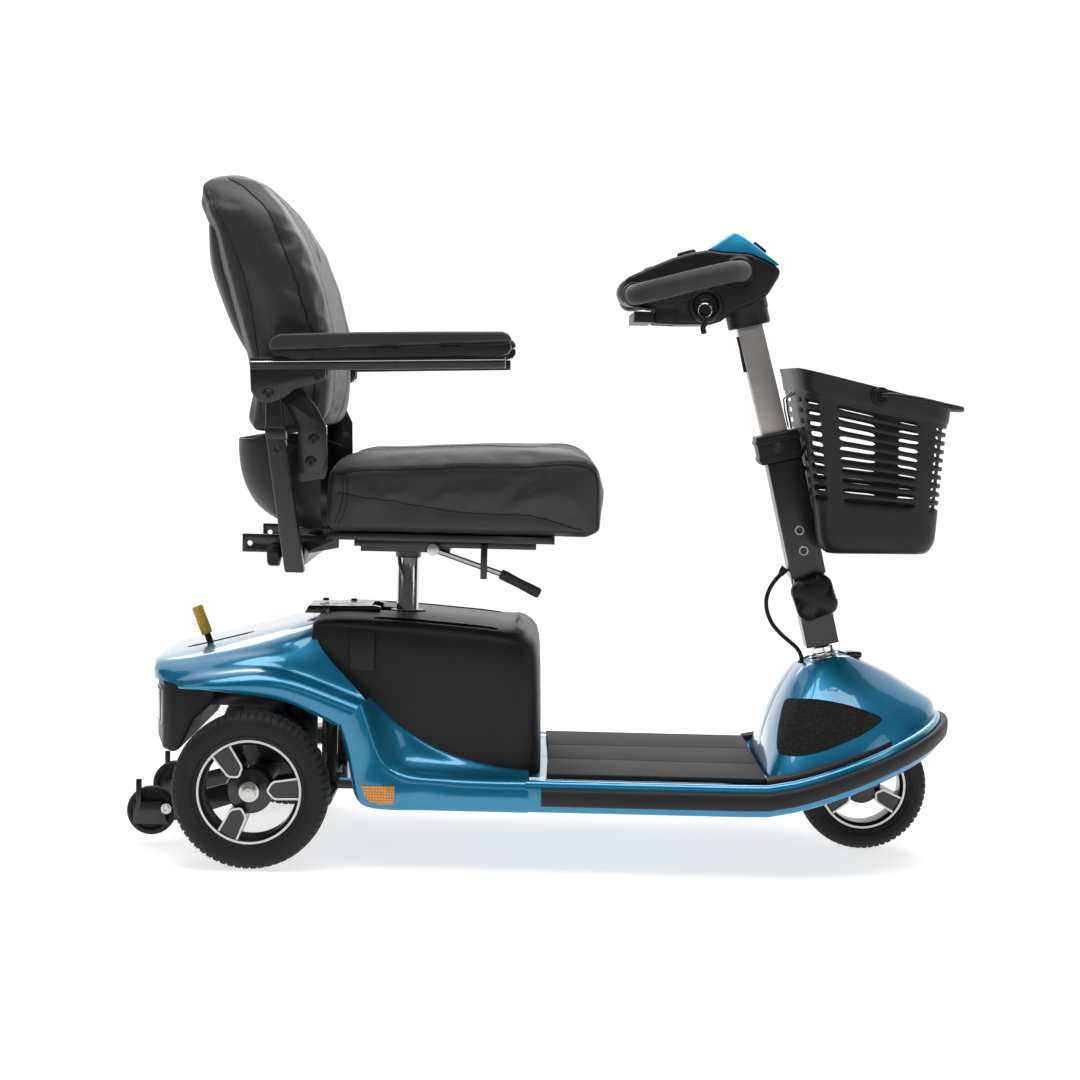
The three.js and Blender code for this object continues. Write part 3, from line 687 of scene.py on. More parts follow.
    @staticmethod
    def block(name: str, low: Vector, high: Vector) -> Object:
        """A box between two corners."""
        Bench.clear()
        bpy.ops.mesh.primitive_cube_add(size=1, location=(low + high) / 2)
        made = Bench.fresh(name)
        made.scale = high - low
        bpy.ops.object.transform_apply(location=True, rotation=True, scale=True)
        return made

    @staticmethod
    def tube(name: str, path: Sequence[Vector], radius: float, sides: int = 12) -> Object:
        """A round tube with closed ends along a path of points."""
        rows = []
        guide = Vector((0, 0, 1))
        for index, point in enumerate(path):
            ahead = path[min(index + 1, len(path) - 1)] - path[max(index - 1, 0)]
            ahead.normalize()
            if index == 0:
                guide = ahead.orthogonal().normalized()
            guide = (guide - ahead * guide.dot(ahead)).normalized()
            other = ahead.cross(guide)
            ring = []
            for turn in range(sides + 1):
                angle = 2 * math.pi * (turn % sides) / sides
                ring.append(point + (guide * math.cos(angle) + other * math.sin(angle)) * radius)
            rows.append(ring)
        first, last = [path[0]] * (sides + 1), [path[-1]] * (sides + 1)
        return Bench.weld(Bench.grid(name, [first, *rows, last]), 1e-6)

    @staticmethod
    def modifier(thing: Object, kind: str, **settings: object) -> Object:
        """Adds a modifier with those settings and applies it."""
        Bench.take(thing)
        made = thing.modifiers.new(kind.lower(), kind)
        for key, value in settings.items():
            setattr(made, key, value)
        bpy.ops.object.modifier_apply(modifier=made.name)
        return thing

    @staticmethod
    def bevel(thing: Object, width: float, segments: int = 3, angle: float = 30.0) -> Object:
        """Rounds the edges sharper than an angle in degrees, by a width in millimetres.

        A tangle of short edges can throw a bevelled corner far out. The mesh is then taken back
        and bevelled less, and left as it was if that doesn't help either.
        """
        plain = thing.data.copy()
        low, high = Bench.bounds(plain)
        for share, mitre in ((1.0, "MITER_ARC"), (1.0, "MITER_SHARP"), (0.4, "MITER_SHARP"),
                             (0.15, "MITER_SHARP")):
            Bench.modifier(
                thing, "BEVEL", width=width * share * MM, segments=segments, limit_method="ANGLE",
                angle_limit=math.radians(angle), use_clamp_overlap=True, miter_outer=mitre,
            )
            new_low, new_high = Bench.bounds(thing.data)
            if min(*(new_low - low), *(high - new_high)) > -0.0006:
                return thing
            LOG.info("%s: bevel at %.2f %s strays", thing.name, share, mitre)
            thing.data = plain.copy()
        return thing

    @staticmethod
    def bounds(mesh: bpy.types.Mesh) -> tuple[Vector, Vector]:
        """The lowest and highest corners of a mesh's box."""
        places = [v.co for v in mesh.vertices]
        return (Vector(min(p[i] for p in places) for i in range(3)),
                Vector(max(p[i] for p in places) for i in range(3)))

    @staticmethod
    def thicken(thing: Object, thickness: float) -> Object:
        """Gives an open sheet a wall, inwards, in millimetres."""
        return Bench.modifier(thing, "SOLIDIFY", thickness=thickness * MM, offset=-1.0,
                              use_even_offset=False)

    @staticmethod
    def both(thing: Object) -> Object:
        """Mirrors a right half across the centre plane."""
        Bench.modifier(thing, "MIRROR", use_axis=(False, True, False), use_clip=True,
                       merge_threshold=1e-4)
        return Bench.weld(thing)

    @staticmethod
    def subdivide(thing: Object, levels: int = 1) -> Object:
        """Applies a subdivision surface."""
        return Bench.modifier(thing, "SUBSURF", levels=levels, render_levels=levels)

    @staticmethod
    def carve(thing: Object, *tools: Object, operation: str = "DIFFERENCE") -> Object:
        """Cuts other objects out of one, or joins them to it, and removes them."""
        for tool in tools:
            Bench.modifier(thing, "BOOLEAN", object=tool, operation=operation, solver="EXACT",
                           use_self=True)
            bpy.data.objects.remove(tool)
        return thing

    @staticmethod
    def join(name: str, parts: Sequence[Object]) -> Object:
        """Joins objects into one mesh."""
        Bench.clear()
        for part in parts:
            part.select_set(True)
        bpy.context.view_layer.objects.active = parts[0]
        bpy.ops.object.join()
        return Bench.fresh(name)

    @staticmethod
    def mirrored(thing: Object, name: str) -> Object:
        """A copy with its own mesh on the other side of the centre plane."""
        twin = thing.copy()
        twin.data = thing.data.copy()
        twin.name = name
        bpy.context.scene.collection.objects.link(twin)
        twin.data.transform(Matrix.Scale(-1, 4, (0, 1, 0)))
        twin.data.flip_normals()
        return twin

    @staticmethod
    def from_node(node: str, name: str, width: float, segments: int = 2, angle: float = 30.0) -> Object:
        """A welded copy of a CAD node with its flat faces cleaned and its edges rounded."""
        source = frame["nodes"][node]
        twin = source.copy()
        twin.data = source.data.copy()
        twin.name = name
        twin.parent = None
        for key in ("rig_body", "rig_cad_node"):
            if key in twin:
                del twin[key]
        bpy.context.scene.collection.objects.link(twin)
        twin.data.materials.clear()
        Bench.edit(
            twin,
            lambda: bpy.ops.mesh.remove_doubles(threshold=2e-5),
            lambda: bpy.ops.mesh.dissolve_limited(angle_limit=math.radians(0.8)),
        )
        if width > 0:
            Bench.bevel(twin, width, segments, angle)
        return twin

    @staticmethod
    def smooth(thing: Object, angle: float = 32.0) -> Object:
        """Smooth shading that keeps edges sharper than an angle."""
        Bench.take(thing)
        bpy.ops.object.shade_smooth_by_angle(angle=math.radians(angle))
        return thing


def fit(thing: Object, look: Look, body: str, slot: str, *nodes: str, angle: float = 32.0) -> Object:
    """Finishes a piece: shading, material, the body that it rides on and what it stands for.

    Args:
        thing: the piece.
        look: its finish, put in its first slot if it has none yet.
        body: the CAD body that it moves with.
        slot: the record's material slot; not used.
        nodes: the CAD nodes that it replaces.
        angle: the sharpest edge that is shaded smooth, in degrees.

    Returns:
        The same piece.
    """
    Bench.smooth(thing, angle)
    if not thing.data.materials:
        thing.data.materials.append(look.material)
    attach(thing, body)
    if nodes:
        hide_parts(*nodes)
    LOG.info("%s: %d faces on %s", thing.name, len(thing.data.polygons), body)
    return thing


def bolt(name: str, head: Vector, outward: Vector, radius: float, look: Look, body: str,
         slot: str, ring: float = 0.0) -> Object:
    """A socket-head bolt, in a washer if ring says how wide one is.

    Args:
        name: the piece's name.
        head: where the head's underside sits.
        outward: the way that it faces.
        radius: the head's radius in millimetres.
        look: its finish.
        body: the body that it rides on.
        slot: the record's material slot.
        ring: the washer's radius in millimetres.

    Returns:
        The piece.
    """
    tall = radius * 0.55
    profile = [(0, -1.0), (radius, -1.0), (radius, tall * 0.75), (radius * 0.86, tall),
               (radius * 0.52, tall), (radius * 0.5, tall * 0.25), (0, tall * 0.25)]
    if ring:
        profile[1:2] = [(ring, -1.0), (ring, 0.7), (ring * 0.94, 1.0), (radius, 1.0)]
    made = Bench.turned(name, [(r * MM, a * MM) for r, a in profile], head, outward, 30)
    return fit(made, look, body, slot)


SLOTS = {row["node"]: row["material_slot"] for row in frame["record"]["subparts"]}


def refinish(node: str, look: Look, width: float = 1.2, segments: int = 2,
             angle: float = 30.0) -> Object:
    """Replaces a CAD node by a copy with rounded edges and a finish."""
    piece = Bench.from_node(node, f"{node}_finished", width, segments, angle)
    return fit(piece, look, frame["nodes"][node]["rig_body"], SLOTS[node], node)


def pick(thing: Object, test: Callable[[bpy.types.MeshPolygon], bool]) -> Object:
    """Leaves only the faces selected that pass a test."""
    Bench.take(thing)
    bpy.context.tool_settings.mesh_select_mode = (False, False, True)
    for part in (thing.data.vertices, thing.data.edges):
        for item in part:
            item.select = False
    for face in thing.data.polygons:
        face.select = test(face)
    return thing


def paint(thing: Object, look: Look, test: Callable[[bpy.types.MeshPolygon], bool]) -> Object:
    """Gives the faces that pass a test a second finish."""
    thing.data.materials.append(look.material)
    index = len(thing.data.materials) - 1
    for face in thing.data.polygons:
        if test(face):
            face.material_index = index
    return thing


# ------------------------------------------------------------------ studio
@dataclass
class Studio:
    """Camera, soft lights and a pale floor."""

    place: tuple[float, float, float] = (-0.0086, -3.446, 0.7095)
    pitch: float = 3.99
    roll: float = 1.365
    lens: float = 74.27

    def build(self) -> None:
        """Makes the camera, the lights and the floor."""
        self.camera()
        self.lights()
        self.floor()

    def camera(self) -> None:
        """The camera, to the right of the scooter and a little above the seat."""
        Bench.clear()
        bpy.ops.object.camera_add(location=self.place)
        made = bpy.context.object
        made.data.lens = self.lens
        made.data.sensor_width = 36.0
        turn = Matrix.Rotation(math.radians(90 - self.pitch), 4, "X")
        made.matrix_world = (Matrix.Translation(self.place) @ turn
                             @ Matrix.Rotation(math.radians(self.roll), 4, "Z"))
        bpy.context.scene.camera = made

    @staticmethod
    def lights() -> None:
        """A large soft box overhead, weaker ones at the sides and a dim room."""
        boxes = (
            ((0.1, -0.3, 3.2), (0.0, 0.0, 0.3), (3.4, 1.8), 96.0),
            ((2.9, -1.4, 1.7), (0.2, 0.0, 0.4), (1.0, 2.2), 9.0),
            ((-2.9, -1.2, 1.9), (-0.2, 0.0, 0.4), (0.9, 2.2), 8.0),
            ((0.4, -4.6, 2.6), (0.0, 0.0, 0.3), (2.4, 0.8), 7.0),
            ((0.0, 2.8, 2.2), (0.0, 0.0, 0.4), (3.2, 1.0), 34.0),
        )
        for place, aim, size, power in boxes:
            Bench.clear()
            bpy.ops.object.light_add(type="AREA", location=place)
            lamp = bpy.context.object
            lamp.data.shape = "RECTANGLE"
            lamp.data.size, lamp.data.size_y = size
            lamp.data.energy = power
            lamp.rotation_euler = (Vector(aim) - Vector(place)).to_track_quat("-Z", "Y").to_euler()
        world = bpy.data.worlds.new("room")
        world.use_nodes = True
        world.node_tree.nodes["Background"].inputs["Color"].default_value = (1, 1, 1, 1)
        world.node_tree.nodes["Background"].inputs["Strength"].default_value = 0.07
        bpy.context.scene.world = world
        bpy.context.scene.view_settings.view_transform = "Standard"

    @staticmethod
    def floor() -> None:
        """A pale floor and a bright backdrop beyond it."""
        planes = (("floor", 40, (0, 0, 0), 0.0, (0.55, 0.55, 0.55), 0.72),
                  ("backdrop", 60, (0, 14, 8), math.pi / 2, (0.2, 0.2, 0.2), 1.0))
        for name, size, place, turn, colour, glow in planes:
            Bench.clear()
            bpy.ops.mesh.primitive_plane_add(size=size, location=place, rotation=(turn, 0, 0))
            sheet = Bench.fresh(name)
            recipe = Recipe(f"pale_{name}")
            shade = recipe.noise(1.2, 2.0)
            sheet.data.materials.append(recipe.surface(
                Base_Color=recipe.tint(shade, colour, [c * 1.03 for c in colour]), Roughness=0.9,
                Specular_IOR_Level=0.1, Emission_Color=(1.0, 1.0, 1.0, 1.0), Emission_Strength=glow))


# ------------------------------------------------------------------ control cable
@dataclass
class ControlCable:
    """The lead from the tiller to the cowl, in a free loop behind the knob."""

    radius: float = 3.3
    route: tuple = ((792, 0, 435), (786, 0, 426), (776, 0, 414), (768, 0, 400), (764, 0, 384),
                    (766, 0, 366), (774, 0, 348), (787, 0, 333), (801, 0, 321), (813, 0, 311),
                    (820, 0, 300), (822, 0, 288), (822, 0, 274))

    def build(self) -> None:
        """Makes the cable and its two grommets."""
        path = spline([spot(*p) for p in self.route], 70)
        cable = Bench.tube("control_cable", path, self.radius * MM, 14)
        cable.data.materials.append(Look.BLACK.material)
        Bench.smooth(cable)
        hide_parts("tiller_cable")
        length = sum((b - a).length for a, b in zip(path, path[1:]))
        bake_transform(cable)
        profile = [(3.5, 0), (6.5, 0), (6.0, 6), (4.2, 13), (3.6, 14)]
        shape = [(r * MM, a * MM) for r, a in [*profile, profile[0]]]
        ends = (("cable_grommet_top", 0, 4, "tiller"), ("cable_grommet_base", -1, -6, "steering"))
        for name, end, inner, body in ends:
            grommet = Bench.turned(name, shape, path[end], path[inner] - path[end], sides=24)
            fit(grommet, Look.BLACK, body, "rubber")


# ------------------------------------------------------------------ wheels
@dataclass
class RoadWheel:
    """One tyre with block shoulders on a three-spoke rim whose edges are machined bright."""

    name: str
    tyre_node: str
    rim_node: str
    body: str
    bore: float
    blocks: int = 62
    groove: float = 2.0
    edge: float = 3.4
    turn: float = 5.0
    centre: Vector = field(init=False)
    radius: float = field(init=False)
    half: float = field(init=False)
    rim: float = field(init=False)
    rim_half: float = field(init=False)

    def __post_init__(self) -> None:
        """Takes the sizes from the CAD nodes, in millimetres."""
        low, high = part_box(self.tyre_node)
        self.centre = (low + high) / 2
        self.radius = (high.z - low.z) * 500
        self.half = (high.y - low.y) * 500
        low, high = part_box(self.rim_node)
        self.rim = (high.z - low.z) * 500
        self.rim_half = (high.y - low.y) * 500

    def build(self) -> None:
        """Makes the tyre and the rim."""
        self.tyre()
        self.wheel()

    def tyre(self) -> None:
        """The tyre, its shoulder blocks parted by grooves."""
        r, h, bead = self.radius, self.half, self.rim + 0.4
        wall = (r + bead) / 2
        half = [
            (r, 0), (r, 3), (r - 1.6, 4), (r - 1.6, 6), (r - 0.2, 7), (r - 0.6, h * 0.42),
            (r - 1.6, h * 0.6), (r - 3.4, h * 0.74), (r - 6.5, h * 0.86), (r - 10, h * 0.94),
            (r - 13, h * 0.97), (wall + 3, h), (wall - 4, h - 0.4), (bead + 8, h - 1.5),
            (bead + 7, h - 2.6), (bead + 6, h - 2.6), (bead + 5, h - 1.8), (bead + 2, h - 3),
            (bead + 0.5, h - 6), (bead, h - 9),
        ]
        shoulder = range(3, 9)
        profile = [*[(q, -y) for q, y in reversed(half)], *half[1:]]
        profile.append(profile[0])
        last = len(half) - 1
        cuts = {last - i for i in shoulder} | {last + i for i in shoulder}
        steps = ((0.0, 1.0), (0.2, 1.0), (0.27, 0.0), (0.6, 0.0), (0.93, 0.0))
        turns = [(n + share) / self.blocks * 2 * math.pi for n in range(self.blocks) for share,
                 _ in steps]
        depth = {round(angle, 6): steps[i % len(steps)][1] for i, angle in enumerate(turns)}

        def grooved(reach: float, index: int, angle: float) -> float:
            """Lowers the shoulder in a groove."""
            sunk = depth.get(round(angle, 6), 1.0) if index in cuts else 0.0
            return reach - sunk * self.groove * MM

        made = Bench.turned(f"{self.name}_tyre_treaded", [(q * MM, y * MM) for q, y in profile],
                            self.centre, shape=grooved, angles=turns)
        fit(made, Look.TYRE, self.body, "tyre", self.tyre_node, angle=38)

    def wheel(self) -> None:
        """The rim: barrel, spokes and hub joined in one piece."""
        r, h = self.rim, self.rim_half
        barrel_shape = [
            (r, -h), (r, h), (r - self.edge, h), (r - self.edge - 0.8, h - 1.6), (r - 8, h - 7),
            (r - 9, 0), (r - 8, 7 - h), (r - self.edge - 0.8, 1.6 - h), (r - self.edge, -h), (r, -h),
        ]
        barrel = Bench.turned("barrel", [(q * MM, y * MM) for q, y in barrel_shape], self.centre,
                              sides=96)
        hub_half = h - 6
        hub_shape = [
            (self.bore, 3 - hub_half), (r * 0.2, 3 - hub_half), (r * 0.22, 4 - hub_half),
            (r * 0.32, 5 - hub_half), (r * 0.42, 7 - hub_half), (r * 0.44, 9 - hub_half),
            (r * 0.44, hub_half - 9), (r * 0.42, hub_half - 7), (r * 0.32, hub_half - 5),
            (r * 0.22, hub_half - 4), (r * 0.2, hub_half - 3), (self.bore, hub_half - 3),
            (self.bore, 3 - hub_half),
        ]
        hub = Bench.turned("hub", [(q * MM, y * MM) for q, y in hub_shape], self.centre, sides=64)
        spokes = [self.spoke(self.turn + angle) for angle in (0, 120, 240)]
        made = Bench.join(f"{self.name}_rim_machined", [barrel, hub, *spokes])
        made.data.materials.clear()
        made.data.materials.append(Look.WHEEL.material)

        def bright(face: bpy.types.MeshPolygon) -> bool:
            """Tells the machined ring and the spokes' outlines."""
            off = face.center - self.centre
            reach = math.hypot(off.x, off.z)
            level = abs(abs(off.y) - self.face(reach)) < 0.0004
            return abs(face.normal.y) > 0.8 and level and reach > 0.36 * r * MM

        paint(made, Look.MACHINED, bright)
        fit(made, Look.WHEEL, self.body, "aluminium", self.rim_node, angle=30)

    def face(self, reach: float) -> float:
        """How far out the bright faces stand at a radius in metres: the ring's, or the spokes'."""
        on_ring = reach > (self.rim - self.edge - 0.5) * MM
        return (self.rim_half if on_ring else self.rim_half - 1.5) * MM

    def spoke(self, angle: float) -> Object:
        """One blunt-ended bar with a raised outline on both faces."""
        r = self.rim
        half = [(r - 2.0, 0.215 * r), (0.5 * r, 0.185 * r), (0.43 * r, 0.15 * r), (0.345 * r, 0.03 * r)]
        outline = [*half, *[(a, -b) for a, b in reversed(half)]]
        turn = math.radians(angle)
        face_y = self.rim_half - 1.5
        points = []
        for out, wide in outline:
            x = out * math.cos(turn) - wide * math.sin(turn)
            z = out * math.sin(turn) + wide * math.cos(turn)
            points.append(self.centre + Vector((x, -face_y, z)) * MM)
        bar = Bench.prism("spoke", points, Vector((0, 2 * face_y * MM, 0)))
        pick(bar, lambda face: abs(face.normal.y) > 0.9)
        Bench.edit(bar, lambda: bpy.ops.mesh.inset(thickness=self.edge * 0.85 * MM, depth=0),
                   lambda: bpy.ops.mesh.inset(thickness=0.0004, depth=-0.0022), whole=False)
        return bar


# ------------------------------------------------------------------ bodywork
@dataclass
class Bodywork:
    """Painted panels, deck, bumper, mat, battery box and what is let into them."""

    half: float = 240.0
    nose_start: float = 790.0
    nose_reach: float = 247.0
    nose_rise: float = 0.36
    deck_rear: float = 398.0
    wall: float = 3.0

    def build(self) -> None:
        """Makes every panel."""
        self.rear_cover()
        wing = self.wing()
        cowl = self.cowl()
        self.inlays(cowl)
        self.shroud(wing, cowl)
        self.reflectors(wing)
        for sheet in (wing, cowl):
            bpy.data.objects.remove(sheet)
        self.bumper()
        self.mat()
        self.battery_box()
        self.rear_panel()
        self.lever()

    def lift(self, x: float) -> float:
        """How much the deck has risen towards the nose."""
        past = max(0.0, x - self.nose_start + 50)
        return self.nose_rise * past * past / (past + 62)

    def deck_loop(self, inset: float, height: float, rear: float | None = None) -> list[Vector]:
        """A level line round the deck, an inset inside its edge, from right rear to left rear."""
        wide, reach = self.half - inset, self.nose_reach - inset
        start = self.deck_rear if rear is None else rear
        steps = 10
        straight = [start + (self.nose_start - start) * i / steps for i in range(steps)]
        plan = [(x, -wide) for x in straight]
        for i in range(41):
            turn = (i / 40 - 0.5) * math.pi
            plan.append((self.nose_start + reach * math.cos(turn), wide * math.sin(turn)))
        plan += [(x, wide) for x in reversed(straight)]
        return [spot(x, y, height + self.lift(x)) for x, y in plan]

    def rear_cover(self) -> None:
        """The hood over the drive unit, with a flared band round each wheel arch."""
        rails = (
            ((-167, 0, 262), (-167, 0, 279), (-160, 0, 288), (-95, 0, 304), (0, 0, 329), (82, 0, 351)),
            ((-165, -100, 262), (-165, -100, 279), (-158, -102, 288), (-92, -104, 304), (0, -106, 328),
             (82, -106, 350)),
            ((-160, -146, 262), (-160, -146, 277), (-152, -148, 287), (-88, -152, 299), (0, -154, 318),
             (83, -154, 339)),
            ((-153, -168, 262), (-152, -170, 274), (-144, -172, 281), (-84, -174, 292), (3, -176, 308),
             (86, -172, 323)),
            ((-140, -186, 262), (-139, -187, 269), (-130, -189, 275), (-78, -192, 285), (12, -194, 299),
             (106, -187, 298)),
            ((-124, -200, 260), (-123, -201, 265), (-112, -203, 269), (-68, -206, 279), (28, -208, 284),
             (160, -208, 244)),
            ((-118, -207, 259), (-117, -209, 262), (-105, -213, 265), (-64, -224, 273), (34, -228, 278),
             (157, -226, 239)),
            ((-114, -212, 257), (-112, -215, 258), (-98, -222, 259), (-60, -236, 263), (38, -239, 264),
             (147, -239, 229)),
            ((-112, -213, 254), (-110, -216, 254), (-96, -221, 254), (-58, -233, 254), (40, -236, 243),
             (126, -237, 208)),
            ((-112, -209, 255), (-108, -210, 256), (-96, -213, 256), (-58, -223, 256), (40, -226, 247),
             (122, -226, 211)),
        )
        made = Bench.loft("rear_cover_hood", [spots(rail) for rail in rails], 34, 4)
        Bench.both(made)
        Bench.thicken(made, self.wall)
        slot = Bench.prism("slot", self.capsule(-73, -60, 52, 14, 270), Vector((0, 0, 0.09)))
        Bench.carve(made, slot)
        fit(made, Look.BLUE, "chassis", "painted_blue", "rear_cover", angle=40)
        trim = Bench.prism("lever_gate", self.capsule(-73, -60, 50, 12, 282), Vector((0, 0, 0.004)))
        gap = Bench.prism("gate_gap", self.capsule(-66, -60, 42, 7, 270), Vector((0, 0, 0.04)))
        Bench.carve(trim, gap)
        fit(trim, Look.BLACK, "chassis", "black_plastic")

    @staticmethod
    def capsule(x: float, y: float, length: float, width: float, z: float,
                count: int = 10) -> list[Vector]:
        """A slot's outline seen from above, from its half length and half width."""
        points = []
        for i in range(2 * count):
            turn = math.pi * i / (count - 1) - math.pi / 2 if i < count else (
                math.pi * (i - count) / (count - 1) + math.pi / 2)
            centre = x + (length - width) * (1 if i < count else -1)
            points.append(spot(centre + width * math.cos(turn), y + width * math.sin(turn), z))
        return points

    def wing(self) -> Object:
        """The right skin between wheel arch, deck edge and battery box, as an open sheet."""
        lower = ((126, 208), (137, 172), (145, 132), (152, 106), (168, 92), (202, 88), (255, 88),
                 (330, 88), (self.deck_rear + 4, 88))
        crease = ((159, 243), (174, 202), (187, 168), (202, 149), (224, 140), (255, 136), (295, 134),
                  (340, 133), (self.deck_rear + 4, 133))
        sweep = ((164, 243), (197, 212), (226, 190), (250, 175), (275, 164), (302, 155), (332, 148),
                 (365, 142), (self.deck_rear + 4, 138))
        levels = (
            (0, 0.0, 0.0, 226), (0, 0.0, 0.0, 238), (0, 0.4, 0.0, 242), (0, 0.84, 0.0, 238),
            (0, 1.0, 0.0, 229), (1, 0.3, 0.12, 210), (1, 0.66, 0.12, 192), (1, 1.0, 0.0, 179),
            (1, 1.0, 0.02, 168),
        )
        rails = []
        for part, share, sag, side in levels:
            low, high = ((lower, crease), (crease, sweep))[part]
            rail = []
            for index, ((x0, z0), (x1, z1)) in enumerate(zip(low, high)):
                pod = 2.5 * (1 - blend_smoothly(x0, 215, 245)) if part == 0 and index > 2 else 0.0
                x, z = x0 + (x1 - x0) * share, z0 + (z1 - z0) * (share - sag)
                rail.append(spot(x, -(side + pod), z))
            rails.append(rail)
        return Bench.weld(Bench.loft("wing_sheet", rails, 44, 4))

    def cowl_lines(self) -> tuple[list[Vector], list[Vector]]:
        """The cowl's foot and the edge of its top, as right halves from rear to nose."""
        foot = ((755, 0, 131), (755, -90, 131), (757, -148, 131), (766, -170, 132), (800, -184, 135),
                (850, -180, 150), (900, -163, 169), (950, -130, 188), (990, -94, 203), (1020, -50, 213),
                (1029, 0, 216))
        top = ((814, 0, 285), (814, -28, 285), (817, -41, 286), (826, -48, 290), (850, -47, 299),
               (878, -42, 304), (903, -33, 298), (930, -25, 286), (964, -17, 270), (998, -9, 249),
               (1008, 0, 242))
        return (spline(spots(foot), 46), spline(spots(top), 46))

    def cowl(self) -> Object:
        """The cowl over the front wheel as an open sheet: a flat top with slightly bowed sides."""
        foot, top = self.cowl_lines()
        shares = (1.0, 0.97, 0.85, 0.7, 0.54, 0.38, 0.24, 0.13, 0.06, 0.02, 0.0)
        rows = []
        for share in shares:
            bow = 9.0 * math.sin(math.pi * share) ** 0.8 * MM
            row = []
            for a, b in zip(top, foot):
                out = Vector((b.x - a.x, b.y - a.y, 0))
                out = out.normalized() if out.length > 1e-6 else Vector((0, 0, 0))
                point = a.lerp(b, share) + out * bow * (0.6 if abs(a.y) < 1e-6 else 1.0)
                point.z = a.z + (b.z - a.z) * share ** 1.12 + bow * 0.4
                if abs(a.y) < 1e-6:
                    point.y = 0.0
                row.append(point)
            rows.append(row)
        for share, rise in ((0.6, 1.6), (0.0, 2.4)):
            rows.append([Vector((p.x, p.y * share, p.z + rise * MM)) for p in top])
        return Bench.both(Bench.grid("cowl_sheet", rows))

    def inlay(self, name: str, sheet: Object, outline: Sequence[tuple[float, float]], y0: float,
              y1: float, proud: float) -> Object:
        """A thin patch that lies on a skin, cut to a side-view outline."""
        patch = sheet.copy()
        patch.data = sheet.data.copy()
        patch.name = name
        bpy.context.scene.collection.objects.link(patch)
        Bench.modifier(patch, "SOLIDIFY", thickness=proud * MM, offset=1.0)
        cutter = Bench.side_plate("cutter", outline, y0, y1)
        return Bench.carve(patch, cutter, operation="INTERSECT")

    def inlays(self, cowl: Object) -> None:
        """Grit panels in the cowl's sides."""
        keys = ((775, 168), (773, 178), (780, 210), (789, 237), (797, 243), (831, 246), (870, 241),
                (905, 232), (930, 222), (932, 217), (905, 202), (870, 188), (833, 175), (800, 168))
        outline = [(p.x, p.z) for p in spline([Vector((x, 0, z)) for x, z in (*keys, keys[0])],
                                              60)[:-1]]
        for name, side in (("right", -1), ("left", 1)):
            y0, y1 = sorted((side * 60, side * 230))
            patch = self.inlay(f"cowl_inlay_{name}", cowl, outline, y0, y1, 0.9)
            fit(patch, Look.GRIT, "chassis", "black_plastic")

    def shroud(self, wing: Object, cowl: Object) -> None:
        """Joins deck, wings and cowl into the front shroud."""
        heights = ((14, 90), (3, 88), (0.5, 89.5), (0, 93), (0, 124), (1, 129), (4, 132.5), (8, 134),
                   (12, 134), (15, 131.5), (60, 131), (120, 131), (180, 131), (239, 131))
        deck = Bench.grid("deck", [self.deck_loop(inset, height) for inset, height in heights])
        Bench.weld(deck)
        Bench.thicken(deck, self.wall)
        foot, _ = self.cowl_lines()
        around = [*foot[1:-1], *[Vector((p.x, -p.y, p.z)) for p in reversed(foot)]]
        middle_x = AXLE + 0.88
        plan = [Vector((middle_x + (p.x - middle_x) * 0.985, p.y * 0.985, 0.05)) for p in around]
        Bench.carve(deck, Bench.prism("cowl_room", plan, Vector((0, 0, 0.3))))
        cover = cowl.copy()
        cover.data = cowl.data.copy()
        bpy.context.scene.collection.objects.link(cover)
        Bench.thicken(cover, self.wall)
        hole = Bench.rod("hole", 0.042, on_column(-170), on_column(-60), 64)
        Bench.carve(cover, hole)
        right = wing.copy()
        right.data = wing.data.copy()
        bpy.context.scene.collection.objects.link(right)
        Bench.thicken(right, self.wall)
        left = Bench.mirrored(right, "wing_left")
        under = Bench.block("under_floor", spot(126, -226, 127), spot(self.deck_rear + 6, 226, 130.5))
        post = Bench.rod("post_room", 0.025, spot(207, 0, 100), spot(207, 0, 160), 40)
        Bench.carve(under, post)
        made = Bench.join("front_shroud_body", [deck, cover, right, left, under])
        fit(made, Look.BLUE, "chassis", "painted_blue", "front_shroud", angle=40)
        ring = [(34, -1.5), (40.5, -1.5), (40.5, 0.5), (39.5, 1.4), (13, 1.4), (12.6, 0.8),
                (12.6, -1.5), (34, -1.5)]
        disc = Bench.turned("stem_cover", in_metres(ring), on_column(-112),
                            on_column(1) - on_column(0), 64)
        fit(disc, Look.BLUE, "steering", "painted_blue")
        lamp = Bench.block("lamp", spot(890, -12, 298), spot(914, 12, 308))
        Bench.bevel(lamp, 3.5, 4)
        lamp.name = "cowl_lamp"
        fit(lamp, Look.GLOSS, "chassis", "black_plastic")

    def reflectors(self, wing: Object) -> None:
        """Amber reflectors on the pods behind the deck's sides."""
        outline = ((160, 122.5), (208, 123), (206.5, 96), (184, 95.5), (173, 98), (165, 106))
        right = self.inlay("side_reflector_right_lens", wing, outline, -260, -232, 1.6)
        left = Bench.mirrored(right, "side_reflector_left_lens")
        fit(right, Look.AMBER, "chassis", "amber_lens", "side_reflector_right")
        fit(left, Look.AMBER, "chassis", "amber_lens", "side_reflector_left")

